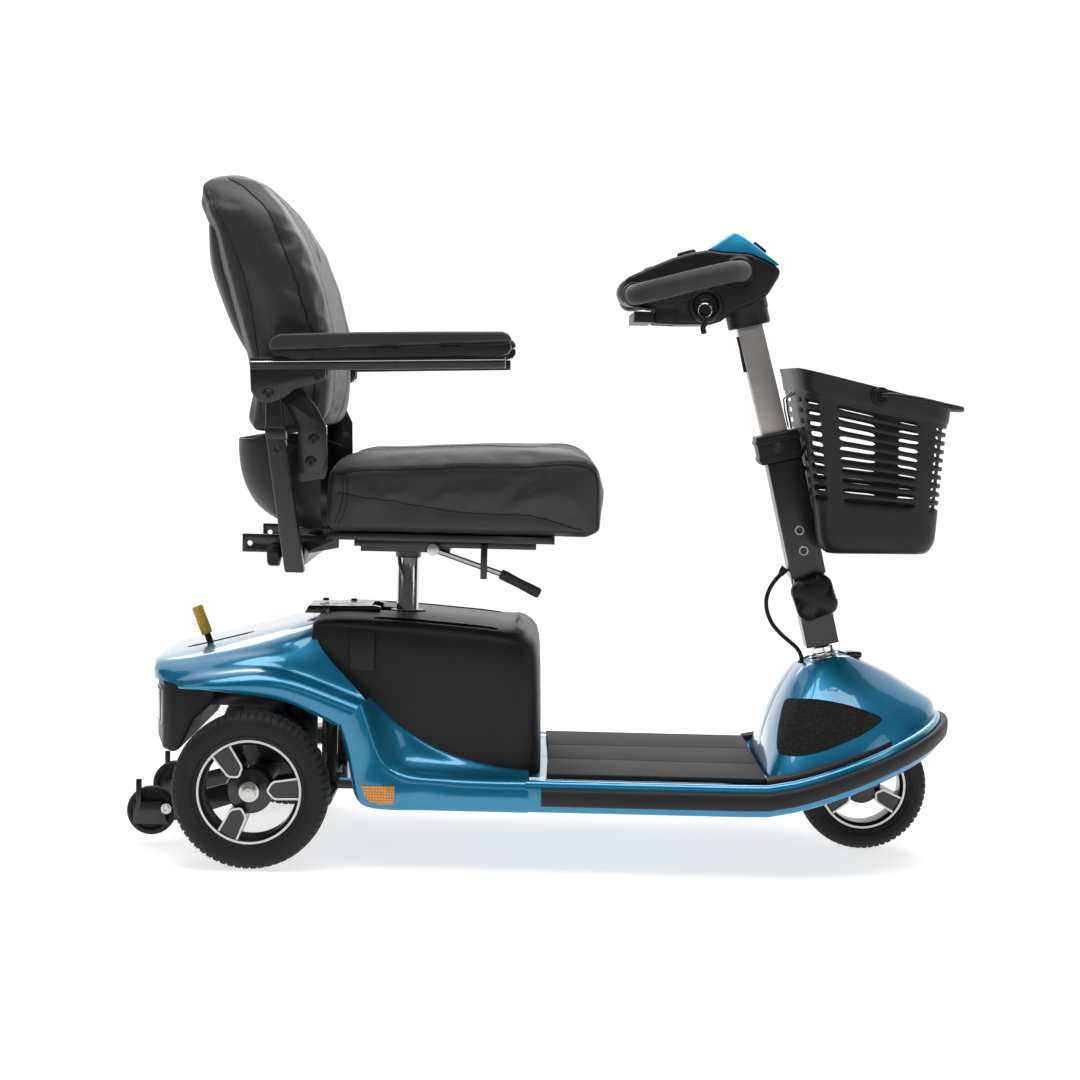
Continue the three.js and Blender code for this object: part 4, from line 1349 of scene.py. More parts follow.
    def bumper(self) -> None:
        """The rubber strip round the deck's edge."""
        section = ((-1, 98), (-7, 98.4), (-10.6, 101), (-11.8, 106), (-12, 111), (-11.6, 117),
                   (-10, 121.4), (-7, 123.4), (-1, 123.8))
        rows = [self.deck_loop(inset, height, 421) for inset, height in (*section, section[0])]
        made = Bench.weld(Bench.grid("bumper_strip", rows))
        Bench.edit(made, lambda: bpy.ops.mesh.select_mode(type="EDGE"),
                   lambda: bpy.ops.mesh.select_all(action="DESELECT"),
                   lambda: bpy.ops.mesh.select_non_manifold(),
                   lambda: bpy.ops.mesh.edge_face_add())
        Bench.weld(made)
        fit(made, Look.BUMPER, "chassis", "rubber", "front_bumper", angle=50)

    def mat(self) -> None:
        """Three ribbed strips with grooves between, and a tongue along each side of the cowl."""
        strips = (
            ((428, -205), (752, -205), (752, -74), (430, -66)),
            ((430, -64), (752, -72), (752, 72), (430, 64)),
            ((430, 66), (752, 74), (752, 205), (428, 205)),
        )
        parts = []
        for outline in strips:
            strip = Bench.prism("strip", [spot(x, y, 131.6) for x, y in outline],
                                Vector((0, 0, 0.0082)))
            parts.append(Bench.bevel(strip, 1.6, 3))
        for side in (-1, 1):
            outer = self.deck_loop(17, 0)
            inner = self.deck_loop(47, 0)
            half = len(outer) // 2
            pairs = list(zip(outer, inner))[:half] if side < 0 else list(zip(outer,
                                                                             inner))[half + 1:][::-1]
            kept = [(a, b) for a, b in pairs if 0.735 < a.x - AXLE < 0.94]
            rows = []
            for edge, height in ((0, 131.6), (0, 138), (0.06, 139.6), (0.94, 139.6), (1, 138),
                                 (1, 131.6), (0, 131.6)):
                row = []
                for a, b in kept:
                    taper = 1 - blend_smoothly(a.x - AXLE, 0.82, 0.94) * 0.9
                    point = a.lerp(b, edge * taper)
                    point.z = height * MM + self.lift((point.x - AXLE) / MM) * MM
                    row.append(point)
                rows.append(row)
            tongue = Bench.weld(Bench.grid("tongue", rows))
            parts.append(tongue)
        made = Bench.join("floor_mat_strips", parts)
        fit(made, Look.MAT, "chassis", "rubber", "floor_mat", angle=40)

    def battery_box(self) -> None:
        """The lift-off battery box: round-shouldered, with hand slots and a charger flap."""
        foot = ((419, 0, 134), (419, -118, 134), (416, -148, 134), (408, -166, 134), (390, -175, 137),
                (360, -177, 143), (300, -177, 156), (239, -177, 180), (200, -176, 207),
                (157, -174, 238), (112, -173, 281), (90, -172, 300), (76, -170, 316), (74, -160, 320),
                (74, -100, 322), (74, 0, 323))
        crown = ((380, 0, 346), (380, -104, 345), (377, -126, 343), (368, -141, 341), (348, -148, 342),
                 (320, -150, 345), (280, -150, 348), (240, -150, 351), (205, -150, 353),
                 (175, -150, 354), (140, -150, 355), (115, -149, 355), (94, -147, 354), (90, -134, 354),
                 (90, -80, 356), (90, 0, 357))
        shape = ((1, 1), (0.97, 0.7), (0.93, 0.42), (0.89, 0.26), (0.84, 0.17), (0.74, 0.1),
                 (0.56, 0.055), (0.3, 0.02), (0, 0))
        low = spline(spots(foot), 60)
        high = spline(spots(crown), 60)
        rows = []
        for across, down in shape:
            rows.append([
                Vector((a.x + (b.x - a.x) * across, a.y + (b.y - a.y) * across,
                        a.z + (b.z - a.z) * down))
                for a, b in zip(high, low)
            ])
        for share, rise in ((0.75, 1.5), (0.35, 2.5), (0.0, 3.0)):
            rows.append([Vector((p.x, p.y * share, p.z + rise * MM)) for p in high])
        made = Bench.both(Bench.grid("battery_box_case", rows))
        Bench.thicken(made, 3.5)
        tools = [Bench.rod("post_room", 0.029, spot(207, 0, 300), spot(207, 0, 420), 48),
                 Bench.block("post_way", spot(60, -29, 300), spot(207, 29, 420))]
        for side in (-1, 1):
            tools.append(Bench.prism("grip", self.capsule(258, side * 126, 94, 14, 336),
                                     Vector((0, 0, 0.06))))
        Bench.carve(made, *tools)
        fit(made, Look.GRAINED, "chassis", "textured_plastic", "battery_box", angle=40)
        for name, side in (("right", -1), ("left", 1)):
            pocket = Bench.prism("pocket", self.capsule(258, side * 126, 93, 13.6, 330),
                                 Vector((0, 0, 0.004)))
            pocket.name = f"grip_pocket_{name}"
            fit(pocket, Look.BLACK, "chassis", "black_plastic")
        flap = refinish("charger_flap", Look.BLACK, 1.0, 3)
        flap.name = "charger_flap_cover"
        refinish("battery_pack", Look.BLACK, 3.0)
        latch = refinish("latch_plate", Look.GLOSS, 1.6, 3)
        latch.data.transform(Matrix.Translation((0, 0, -0.0115)))
        for x in (78, 122):
            bolt(f"latch_bolt_{x}", spot(x, 26, 366.0), Vector((0, 0, 1)), 5.0, Look.COAT, "chassis",
                 "black_steel")

    def rear_panel(self) -> None:
        """The black tail panel, bevelled at its corners, with a lamp in each bevel."""
        plan = ((-159, -112), (-140, -182), (-128, -192), (-62, -194), (-62, 194), (-128, 192),
                (-140, 182), (-159, 112))
        body = Bench.prism("tail", [spot(x, y, 150) for x, y in plan], Vector((0, 0, 0.118)))
        side = ((-164, 262), (-60, 262), (-60, 236), (-92, 206), (-112, 162), (-122, 156), (-140, 160),
                (-164, 171))
        Bench.carve(body, Bench.side_plate("side", side, -200, 200), operation="INTERSECT")
        Bench.bevel(body, 5.0, 4)
        body.name = "rear_panel_moulding"
        fit(body, Look.GRAINED, "chassis", "textured_plastic", "rear_panel")
        for name, mirror in (("right", -1), ("left", 1)):
            start, end = spot(-159, mirror * 112, 0), spot(-140, mirror * 182, 0)
            along = (end - start).normalized()
            out = Vector((-along.y * mirror, along.x * mirror, 0))
            out = out if out.x < 0 else -out
            centre = (start + end) / 2 + Vector((0, 0, 0.221))
            rows = (("frame", 1.0, -0.0015, 0.0022, Look.SATIN),
                    ("surround", 0.95, -0.001, 0.0028, Look.BLACK),
                    ("lens", 0.8, -0.001, 0.0036, Look.RED))
            for part, share, inner, outer, look in rows:
                ring = []
                for a, b in ((-24, -27), (24, -27), (29, -20), (29, 24), (24, 29), (-24, 29), (-29, 24),
                             (-29, -20)):
                    ring.append(centre + along * a * share * MM + Vector((0, 0,
                                                                          b * share * MM)) + out * inner)
                lamp = Bench.prism(f"tail_lamp_{part}_{name}", ring, out * (outer - inner))
                Bench.bevel(lamp, 0.8, 2)
                fit(lamp, look, "chassis", "black_plastic")

    def lever(self) -> None:
        """The yellow freewheel lever with a ribbed grip on a black stem."""
        foot, grip, tip = spot(-68, -60, 250), spot(-95, -60, 319), spot(-111, -60, 360)
        axis = (tip - grip).normalized()
        stem = Bench.rod("freewheel_stem", 0.005, foot, grip + axis * 0.004, 24)
        boss = Bench.rod("boss", 0.009, spot(-68, -67, 250), spot(-68, -53, 250), 32)
        stem = Bench.join("freewheel_stem", [stem, boss])
        fit(stem, Look.BLACK, "freewheel_lever", "black_plastic", "freewheel_lever")
        reach = (tip - grip).length / MM
        profile = [(0, -1), (7.4, -1), (8.4, 0.5), (8.6, 3)]
        for step in range(3):
            start = reach * (0.56 + 0.12 * step)
            profile += [(8.7, start), (8.0, start + 0.8), (8.0, start + 2.0), (8.8, start + 2.8)]
        profile += [(8.7, reach - 3), (7.6, reach - 0.6), (5, reach), (0, reach)]
        cap = Bench.turned("freewheel_grip", in_metres(profile), grip, axis, 36)
        fit(cap, Look.YELLOW, "freewheel_lever", "yellow_plastic")


# ------------------------------------------------------------------ drive unit and running gear
@dataclass
class RunningGear:
    """Frame, transaxle, motor, axle nuts and the anti-tip wheels."""

    nut: float = 7.6
    washer: float = 12.5

    def build(self) -> None:
        """Finishes each piece."""
        refinish("main_frame", Look.COAT, 1.5, 2)
        refinish("transaxle", Look.CASTING, 3.0, 3)
        refinish("drive_motor", Look.BLACK, 2.0, 2)
        refinish("anti_tip_bracket", Look.COAT, 2.0, 2)
        self.plumbing()
        for name, side in (("right", -1), ("left", 1)):
            refinish(f"rear_axle_shaft_{name}", Look.ZINC, 0.8)
            self.axle_end(name, side)
            self.anti_tip(name, side)

    def plumbing(self) -> None:
        """The motor's cable and a few bolt heads under the cover."""
        path = spline([spot(30, -80, 205), spot(46, -96, 232), spot(90, -110, 246),
                       spot(140, -110, 226)], 40)
        lead = Bench.tube("motor_lead", path, 0.004, 12)
        fit(lead, Look.BLACK, "chassis", "black_plastic")
        for index, (x, z) in enumerate(((-142, 60), (-20, 86), (10, 86))):
            for name, side in (("right", -1), ("left", 1)):
                bolt(f"bracket_bolt_{index}_{name}", spot(x, side * 132.5, z), Vector((0, side, 0)),
                     5.5, Look.ZINC, "chassis", "chrome", 8.0)

    def axle_end(self, name: str, side: int) -> None:
        """A plated washer and a socketed nut on the axle's end."""
        centre = Vector((AXLE, side * 0.2702, middle(f"rear_rim_{name}").z))
        face = [(0, -2), (self.washer, -2), (self.washer, 1.2), (self.washer - 1, 2), (self.nut + 1, 2),
                (self.nut + 0.6, 3), (self.nut, 7.4), (self.nut - 1.5, 8.4), (self.nut * 0.6, 8.4),
                (self.nut * 0.56, 4), (0, 4)]

        def flats(reach: float, index: int, angle: float) -> float:
            """Six flats on the nut."""
            if index not in (5, 6, 7):
                return reach
            wave = (angle % (math.pi / 3)) - math.pi / 6
            return reach * math.cos(math.pi / 6) / math.cos(wave) * 1.08

        made = Bench.turned(f"axle_nut_{name}", in_metres(face), centre,
                            Vector((0, side, 0)), 48, flats)
        fit(made, Look.ZINC, f"rear_wheel_{name}", "chrome", angle=28)

    def anti_tip(self, name: str, side: int) -> None:
        """One small solid wheel with a moulded hub."""
        centre = middle(f"anti_tip_wheel_{name}")
        low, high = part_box(f"anti_tip_wheel_{name}")
        r, h = (high.z - low.z) * 500, (high.y - low.y) * 500
        half = [(r, 0), (r - 0.2, h * 0.4), (r - 1.4, h * 0.74), (r - 4, h * 0.95), (r - 8, h),
                (r - 9, h - 0.6), (r - 11, h - 3.5), (15, h - 4), (12, h - 3), (11, h - 0.5),
                (6, h - 0.5), (5.2, h - 1.5)]
        profile = [*[(q, -y) for q, y in reversed(half)], *half[1:]]
        profile.append(profile[0])
        made = Bench.turned(f"anti_tip_roller_{name}", [(q * MM, y * MM) for q, y in profile], centre,
                            sides=72)
        fit(made, Look.TYRE, f"anti_tip_{name}", "rubber", f"anti_tip_wheel_{name}", angle=34)
        bolt(f"anti_tip_bolt_{name}", centre + Vector((0, side * (h + 2) * MM, 0)),
             Vector((0, side, 0)), 5.5, Look.ZINC, "chassis", "chrome", 7.5)


# ------------------------------------------------------------------ steering and tiller
@dataclass
class Tiller:
    """Fork, folding column, console, handles and what is mounted on them."""

    tube: float = 15.5
    lobes: int = 4

    def build(self) -> None:
        """Makes every piece."""
        refinish("front_fork", Look.COAT, 3.0, 3)
        refinish("steering_knuckle", Look.COAT, 3.0, 3)
        refinish("stem_lock_nut", Look.CHROME, 1.0, 2)
        for along in (-106, -101, -96, -91):
            ring = [(15, -1.6), (21.5, -1.6), (23, -0.6), (23, 0.6), (21.5, 1.6), (15, 1.6), (15, -1.6)]
            made = Bench.turned(f"stem_ring_{-along}", in_metres(ring), on_column(along),
                                on_column(1) - on_column(0), 40)
            fit(made, Look.CHROME, "steering", "chrome")
        self.column()
        self.knob()
        self.console()
        self.controls()
        for name, side in (("right", -1), ("left", 1)):
            self.handle(name, side)

    def column(self) -> None:
        """The square lower tube, the satin upper one and the clamp where they meet."""
        refinish("lower_column", Look.COAT, 5.0, 4, 50)
        upper = refinish("upper_column", Look.SATIN, 3.2, 4)
        for vertex in upper.data.vertices:
            vertex.co.x -= max(0.0, vertex.co.z - 0.63) * 0.055
        slot = Bench.tube("column_slot", [spot(708, 0, 790), spot(713, 0, 772), spot(721, 0, 736)],
                          0.0032, 10)
        fit(slot, Look.BLACK, "tiller", "black_plastic")
        refinish("column_collar", Look.BLACK, 4.0, 4)
        for along in (104, 72):
            head = on_column(along, 0, -27.2)
            bolt(f"column_bolt_{along}", head, Vector((0, -1, 0)), 4.6, Look.GLOSS, "tiller",
                 "black_steel", 0)
            ring = [(4.8, -0.6), (7.4, -0.6), (7.4, 0.6), (6.8, 1.3), (5.4, 1.3), (4.8, 0.6),
                    (4.8, -0.6)]
            made = Bench.turned(f"column_ring_{along}", in_metres(ring), head,
                                Vector((0, -1, 0)), 32)
            fit(made, Look.ZINC, "tiller", "chrome")
        for along in (222, 248):
            band = Bench.block("band", Vector((-0.0385, -0.0345, -0.004)),
                               Vector((0.0305, 0.0345, 0.004)))
            band.data.transform(Matrix.Translation(on_column(along)) @ Matrix.Rotation(-TILT, 4, "Y"))
            Bench.bevel(band, 2.0, 3)
            band.name = f"clamp_band_{along}"
            fit(band, Look.GRAINED, "tiller", "black_plastic")
        bolt("clamp_bolt", on_column(236, -6, -33.2), Vector((0, -1, 0)), 5.5, Look.COAT, "tiller",
             "black_steel", 8)

    def knob(self) -> None:
        """Four smooth domed lobes with fine ribs between them."""
        centre = Vector((AXLE + PIVOT[0] * MM, -0.0274, PIVOT[1] * MM))
        rows = [(0, 0), (24, 0), (31, 2), (34, 6), (35, 12), (35, 20), (33.5, 25), (30, 29), (24, 31.5),
                (15, 33), (0, 33.6)]
        turns = [2 * math.pi * i / 288 for i in range(288)]

        def lobed(reach: float, index: int, angle: float) -> float:
            """Swells the lobes and cuts the ribs into the arcs between them."""
            wave = math.cos(self.lobes * (angle - 0.35))
            swell = 1.0 + 0.085 * wave if index > 1 else 1.0
            ribbed = 2 <= index <= 8 and wave < -0.1
            rib = (3.0 if round(angle / (2 * math.pi) * 288) % 4 < 2 else 0.0) if ribbed else 0.0
            return reach * swell - rib * MM

        made = Bench.turned("tiller_knob_grip", in_metres(rows), centre,
                            Vector((0, -1, 0)), shape=lobed, angles=turns)
        stub = Bench.rod("stub", 0.005, centre + Vector((0, -0.004, 0)), centre + Vector((0, 0.061, 0)),
                         24)
        nut = Bench.rod("nut", 0.0085, centre + Vector((0, 0.0548, 0)), centre + Vector((0, 0.0612, 0)),
                        6)
        made = Bench.join("tiller_knob_grip", [made, stub, nut])
        fit(made, Look.BLACK, "tiller_knob", "black_plastic", "tiller_knob", angle=40)

    def console(self) -> None:
        """The wedge-shaped console with a boss for each handle, and its blue cap."""
        keys = ((518, 850), (522, 866), (536, 876), (566, 890), (600, 905), (630, 914), (654, 918.6),
                (676, 915.5), (700, 915), (718, 914), (740, 906), (757, 896.6), (765, 892), (762, 880),
                (746, 852), (730, 841), (706, 831), (690, 822), (676, 811), (660, 806), (606, 804.4),
                (606, 826), (580, 827), (545, 832), (528, 835))
        body = Bench.side_plate("console", keys, -60, 60)
        plan = [(516, -26), (532, -58), (560, -60.5), (766, -60.5), (766, 60.5), (560, 60.5), (532, 58),
                (516, 26)]
        Bench.carve(body, Bench.prism("plan", [spot(x, y, 780) for x, y in plan], Vector((0, 0, 0.2))),
                    operation="INTERSECT")
        Bench.carve(body, Bench.rod("bore", 0.0215, on_column(380), on_column(431), 40))
        Bench.bevel(body, 7.0, 5, 24)
        neck_shape = [(22, 424), (31, 424), (33, 426), (33, 446), (34.5, 449), (34.5, 466), (22, 466),
                      (22, 424)]
        neck = Bench.turned("neck", in_metres(neck_shape), on_column(0),
                            on_column(1) - on_column(0), 56)
        neck.data.transform(Matrix.Translation((-0.009, 0, 0)))
        parts = [body, neck]
        for low, high in ((-60, -19), (19, 60)):
            cheek = Bench.side_plate("cheek", ((575, 831), (575, 805.6), (612, 804.6), (612, 831)), low,
                                     high)
            parts.append(Bench.bevel(cheek, 2.5, 3))
        for side in (-1, 1):
            shape = [(0, 40), (27, 40), (26.5, 56), (24.5, 61.5), (21, 64.5), (16.6, 64.5), (16.2, 60),
                     (0, 60)]
            parts.append(Bench.turned("boss", in_metres(shape), spot(701, 0, 886),
                                      Vector((0, side, 0)), 48))
        lock = [(0, 50), (26, 50), (26, 66), (24.5, 69), (21, 70.5), (19.5, 69), (17, 63.5), (12, 63),
                (11.4, 68), (9.5, 69.5), (0, 69.5)]
        parts.append(Bench.turned("lock", in_metres(lock), spot(652, 0, 834),
                                  Vector((0, -1, 0)), 48))
        made = Bench.join("console_shell", parts)
        fit(made, Look.BLACK, "tiller", "black_plastic", "console_housing", angle=36)
        for name, side in (("right", -1), ("left", 1)):
            line = [spot(x, side * 60.5, z) for x, z in ((524, 842), (560, 838), (620, 842), (676, 850),
                                                         (736, 862))]
            seam = Bench.tube(f"console_seam_{name}", spline(line, 40), 0.0006, 6)
            fit(seam, Look.PIPING, "tiller", "black_plastic")
        self.cap()

    def cap(self) -> None:
        """The blue cap: two sloping planes that narrow to a blunt ridge."""
        keys = ((654.5, 919.6), (676, 916.5), (700, 915.7), (718, 914.6), (740, 906.8), (757, 897.6),
                (763, 898), (742, 914.5), (724, 929), (710, 939.5), (700, 945), (693, 946),
                (686, 942.5), (672, 932))
        made = Bench.side_plate("console_cap", keys, -59.5, 59.5)
        Bench.edit(made, lambda: bpy.ops.mesh.select_all(action="SELECT"),
                   lambda: bpy.ops.mesh.subdivide(number_cuts=1))
        for vertex in made.data.vertices:
            rise = blend_smoothly(vertex.co.z, 0.905, 0.95)
            vertex.co.y *= 1.0 - 0.3 * rise
        Bench.weld(made)
        Bench.bevel(made, 4.0, 4, 24)
        fit(made, Look.BLUE, "tiller", "painted_blue", "console_cover", angle=40)
        slope = (spot(724, 0, 929) - spot(757, 0, 903)).normalized()
        normal = Vector((-slope.z, 0, slope.x))
        normal = normal if normal.z > 0 else -normal
        turn = Matrix((slope, Vector((0, 1, 0)), normal)).transposed().to_4x4()
        lamp = Bench.block("charge_meter", Vector((-0.012, -0.018, -0.002)),
                           Vector((0.012, 0.018, 0.0075)))
        lamp.data.transform(Matrix.Translation(spot(733, 0, 923)) @ turn)
        Bench.bevel(lamp, 2.2, 3)
        fit(lamp, Look.GLOSS, "tiller", "black_plastic")

    def controls(self) -> None:
        """Horn, speed dial, throttle lever and key."""
        horn_axis = Vector((-0.42, 0, 0.908))
        horn = [(0, -0.2), (6.6, -0.2), (7.0, 0.4), (6.8, 2.6), (5.4, 3.8), (0, 4.3)]
        made = Bench.turned("horn_cap", in_metres(horn), spot(566, -26, 888.6), horn_axis, 32)
        fit(made, Look.YELLOW, "horn_button", "black_plastic", "horn_button")
        dial_axis = Vector((-0.268, 0, 0.963))

        def knurled(reach: float, index: int, angle: float) -> float:
            """Fine ribs round the dial."""
            return reach - (0.7 * MM if index in (1, 2,
                                                  3) and round(angle / math.tau * 120) % 4 < 2 else 0.0)

        dial = [(0, 0.5), (15, 0.5), (15, 5), (13.6, 7.4), (12.8, 8), (3, 8), (0, 7.6)]
        made = Bench.turned("speed_dial_cap", in_metres(dial), spot(626, 0, 911.2), dial_axis,
                            shape=knurled, angles=[math.tau * i / 120 for i in range(120)])
        fit(made, Look.BLACK, "speed_dial", "black_plastic", "speed_dial")
        refinish("throttle_lever", Look.BLACK, 3.5, 4)
        barrel = Bench.rod("barrel", 0.0034, spot(652, -64, 834), spot(652, -76, 834), 20)
        blade = Bench.side_plate("blade", [(645, 832.6), (659, 832.6), (659, 835.4), (645, 835.4)], -92,
                                 -76)
        head = Bench.rod("head", 0.0085, spot(652, -91, 832.7), spot(652, -91, 835.3), 32)
        key = Bench.join("key_and_barrel", [barrel, Bench.bevel(blade, 0.5, 2), head])
        fit(key, Look.BLACK, "ignition_key", "black_plastic", "ignition_key")
        ring = [spot(649 + 10 * math.cos(t), -94 - 2.5 * math.cos(t), 826 + 10 * math.sin(t))
                for t in (math.tau * i / 40 for i in range(41))]
        hoop = Bench.tube("key_ring", ring, 0.0009, 8)
        fit(hoop, Look.CHROME, "ignition_key", "chrome")
        fob_line = spline([spot(648, -94, 817), spot(650, -94, 809), spot(647, -94, 800),
                           spot(649, -94, 791)], 20)
        fob = Bench.tube("key_fob", fob_line, 0.0042, 12)
        fob.data.transform(Matrix.Translation(Vector((0, -0.094, 0))) @ Matrix.Diagonal((1, 0.5, 1, 1))
                           @ Matrix.Translation(Vector((0, 0.094, 0))))
        fit(fob, Look.BLACK, "ignition_key", "black_plastic")

    def handle(self, name: str, side: int) -> None:
        """One loop handle in foam, its ends let into the console."""
        route = ((702, 60.6, 886), (701, 100, 885), (694, 150, 883), (668, 190, 877), (620, 207, 864),
                 (576, 201, 852), (549, 168, 846), (543, 120, 846), (545, 60.6, 849))
        path = spline([spot(x, side * y, z) for x, y, z in route], 90)
        made = Bench.tube(f"loop_handle_{name}", path, self.tube * MM, 28)
        fit(made, Look.GRIP, "tiller", "rubber", f"handle_{name}", angle=60)
        collar = [(15.9, 60.8), (19, 60.8), (18.6, 66), (17.4, 68), (15.9, 68), (15.9, 60.8)]
        ring = Bench.turned(f"handle_collar_{name}", in_metres(collar), spot(545, 0, 848.6),
                            Vector((0, side, 0)), 40)
        fit(ring, Look.BLACK, "tiller", "black_plastic")


# ------------------------------------------------------------------ basket
@dataclass
class Basket:
    """Moulded basket with slotted sides, a banded rim and a folding handle."""

    slots: int = 10
    wall: float = 2.6

    def build(self) -> None:
        """Makes the basket, its handle and the wires behind it."""
        self.tub()
        self.handle()
        self.wires()

    @staticmethod
    def loop(share: float, grow: float = 0.0) -> list[Vector]:
        """One loop round the walls: 0 at the base, 1 at the sloping rim."""
        rear, front = 829 + (790 - 829) * share, 1006 + (1016 - 1006) * share
        half_rear, half_front = 124 + (163 - 124) * share, 122 + (155 - 122) * share
        curl = 20 * (1 - (1 + max(-16.0, min(0.0, grow)) / 16) ** 2) if share < 0.01 else 0.0
        z_rear, z_front = 486 + (743 - 486) * share - curl, 488 + (691 - 488) * share - curl
        rear, front, half_rear, half_front = rear - grow, front + grow, half_rear + grow, half_front + grow
        radius = max(4.0, 34 + 8 * share + grow)
        plan = []
        side = (0.0, 0.04, 0.22, 0.41, 0.6, 0.79, 0.96, 1.0)
        across = (0.06, 0.14, 0.27, 0.38, 0.46, 0.54, 0.62, 0.73, 0.86, 0.94)
        for mirror in (-1, 1):
            run = []
            for s in side:
                x = rear + radius + (front - rear - 2 * radius) * s
                run.append((x, half_rear + (half_front - half_rear) * s))
            corner = [(front - radius + radius * math.sin(a),
                       half_front - radius + radius * math.cos(a))
                      for a in (math.pi / 2 * i / 6 for i in range(1, 6))]
            back = [(rear + radius - radius * math.sin(a), half_rear - radius + radius * math.cos(a))
                    for a in (math.pi / 2 * i / 6 for i in range(5, 0, -1))]
            run = [*back, *run, *corner]
            plan.append([(x, mirror * y) for x, y in run])
        right, left = plan
        front_run = [(front, -(half_front - radius) * (1 - 2 * s)) for s in (0.0, *across, 1.0)]
        rear_run = [(rear, (half_rear - radius) * (1 - 2 * s)) for s in (0.0, *across, 1.0)]
        ring = [*right, *front_run, *left[::-1], *rear_run]
        ring.append(ring[0])
        points = []
        for x, y in ring:
            z = z_rear + (z_front - z_rear) * (x - rear) / (front - rear)
            if abs(y) < 44:
                keep = PIVOT[0] - (z - PIVOT[1]) * math.tan(TILT) + 34.5
                x = max(x, keep)
            points.append(spot(x, y, z))
        return points

    def tub(self) -> None:
        """Walls with ten rows of slots, a stepped rim band and a rounded floor."""
        levels = [(0.0, -26), (0.0, -16), (0.0, -10), (0.0, -5), (0.0, -1.6), (0.012, 0), (0.1, 0),
                  (0.16, 0)]
        plain = len(levels)
        start, pitch, gap = 0.2385, 0.063, 0.0275
        for number in range(self.slots):
            levels += [(start + pitch * number, 0), (start + pitch * number + gap, 0)]
        levels += [(0.845, 0), (0.866, 0.2), (0.872, 2.4), (0.92, 2.6), (0.976, 2.6), (0.986, 4.6),
                   (1.0, 4.6), (1.003, 3), (1.003, 0.4)]
        rows = [self.loop(share, grow) for share, grow in levels]
        centre = sum((p for p in rows[0]), Vector()) / len(rows[0])
        inner = [[centre + (p - centre) * q for p in rows[0]] for q in (0.02, 0.5)]
        rows = [*inner, *rows]
        wide = len(rows[0])
        made = Bench.grid("basket_tub", rows)
        first = len(inner) + plain
        open_rows = {first + 2 * n for n in range(self.slots)}
        self.cut_slots(made, wide, open_rows)
        Bench.weld(made)
        Bench.thicken(made, self.wall)
        Bench.subdivide(made)
        parts = [made]
        boss = [(0, -4), (14, -4), (14, 5), (12.6, 6.6), (10, 7), (0, 7)]
        for side_of in (-1, 1):
            parts.append(Bench.turned("boss", in_metres(boss), spot(906, side_of * 160.5, 704),
                                      Vector((0, side_of, 0)), 36))
        made = Bench.join("basket_tub", parts)
        fit(made, Look.BLACK, "tiller", "black_plastic", "basket", angle=35)
        for name, side_of in (("right", -1), ("left", 1)):
            bolt(f"basket_pin_{name}", spot(906, side_of * 168, 704), Vector((0, side_of, 0)), 6.5,
                 Look.GLOSS, "tiller", "black_plastic")

    @staticmethod
    def cut_slots(made: Object, wide: int, open_rows: set[int]) -> None:
        """Opens the slots: long ones in the sides, short ones in front and round the rear corners."""
        right = {0, 1, 2, *range(6, 11), *range(14, 20)}
        openings = right | {21, 22, 24, 25} | {47 - c for c in right} | {49, 50, 56, 57}

        def is_slot(face: bpy.types.MeshPolygon) -> bool:
            """Tells a face of a slot by its place in the grid."""
            corner = min(face.vertices)
            return corner // wide in open_rows and corner % wide in openings

        pick(made, is_slot)
        Bench.edit(made, lambda: bpy.ops.mesh.delete(type="FACE"), whole=False)

    def handle(self) -> None:
        """The carrying handle, folded down in front of the rim."""
        side = [(906, 171.5, 706), (930, 171.5, 705), (966, 170, 700), (1004, 167, 692),
                (1022, 156, 689), (1030, 138, 687.5), (1031, 70, 687)]
        route = [*side, (1031, 0, 687), *[(x, -y, z) for x, y, z in reversed(side)]]
        path = spline(spots(route), 110)
        bar = Bench.tube("basket_carry_bar", path, 0.0044, 14)
        eyes = []
        eye = [(6.8, -2.5), (10.5, -2.5), (10.5, 2.5), (6.8, 2.5), (6.8, -2.5)]
        for side_of in (-1, 1):
            eyes.append(Bench.turned("eye", in_metres(eye), spot(906, side_of * 171.5, 704),
                                     Vector((0, side_of, 0)), 36))
        made = Bench.join("basket_carry_bar", [bar, *eyes])
        fit(made, Look.BLACK, "basket_handle", "black_plastic", "basket_handle", angle=50)

    @staticmethod
    def wires() -> None:
        """The wire bracket that holds the basket to the column."""
        for name, y in (("right", -20), ("left", 20)):
            upper = [spot(803, y, 716), spot(792, y, 703), spot(783, y, 696), spot(786, y, 676),
                     spot(792, y, 652)]
            lower = [spot(797, y, 612), spot(806, y, 600), spot(818, y, 590), spot(826, y, 578)]
            for part, line in (("upper", upper), ("lower", lower)):
                made = Bench.tube(f"basket_wire_{part}_{name}", line, 0.0012, 8)
                fit(made, Look.COAT, "tiller", "black_steel")


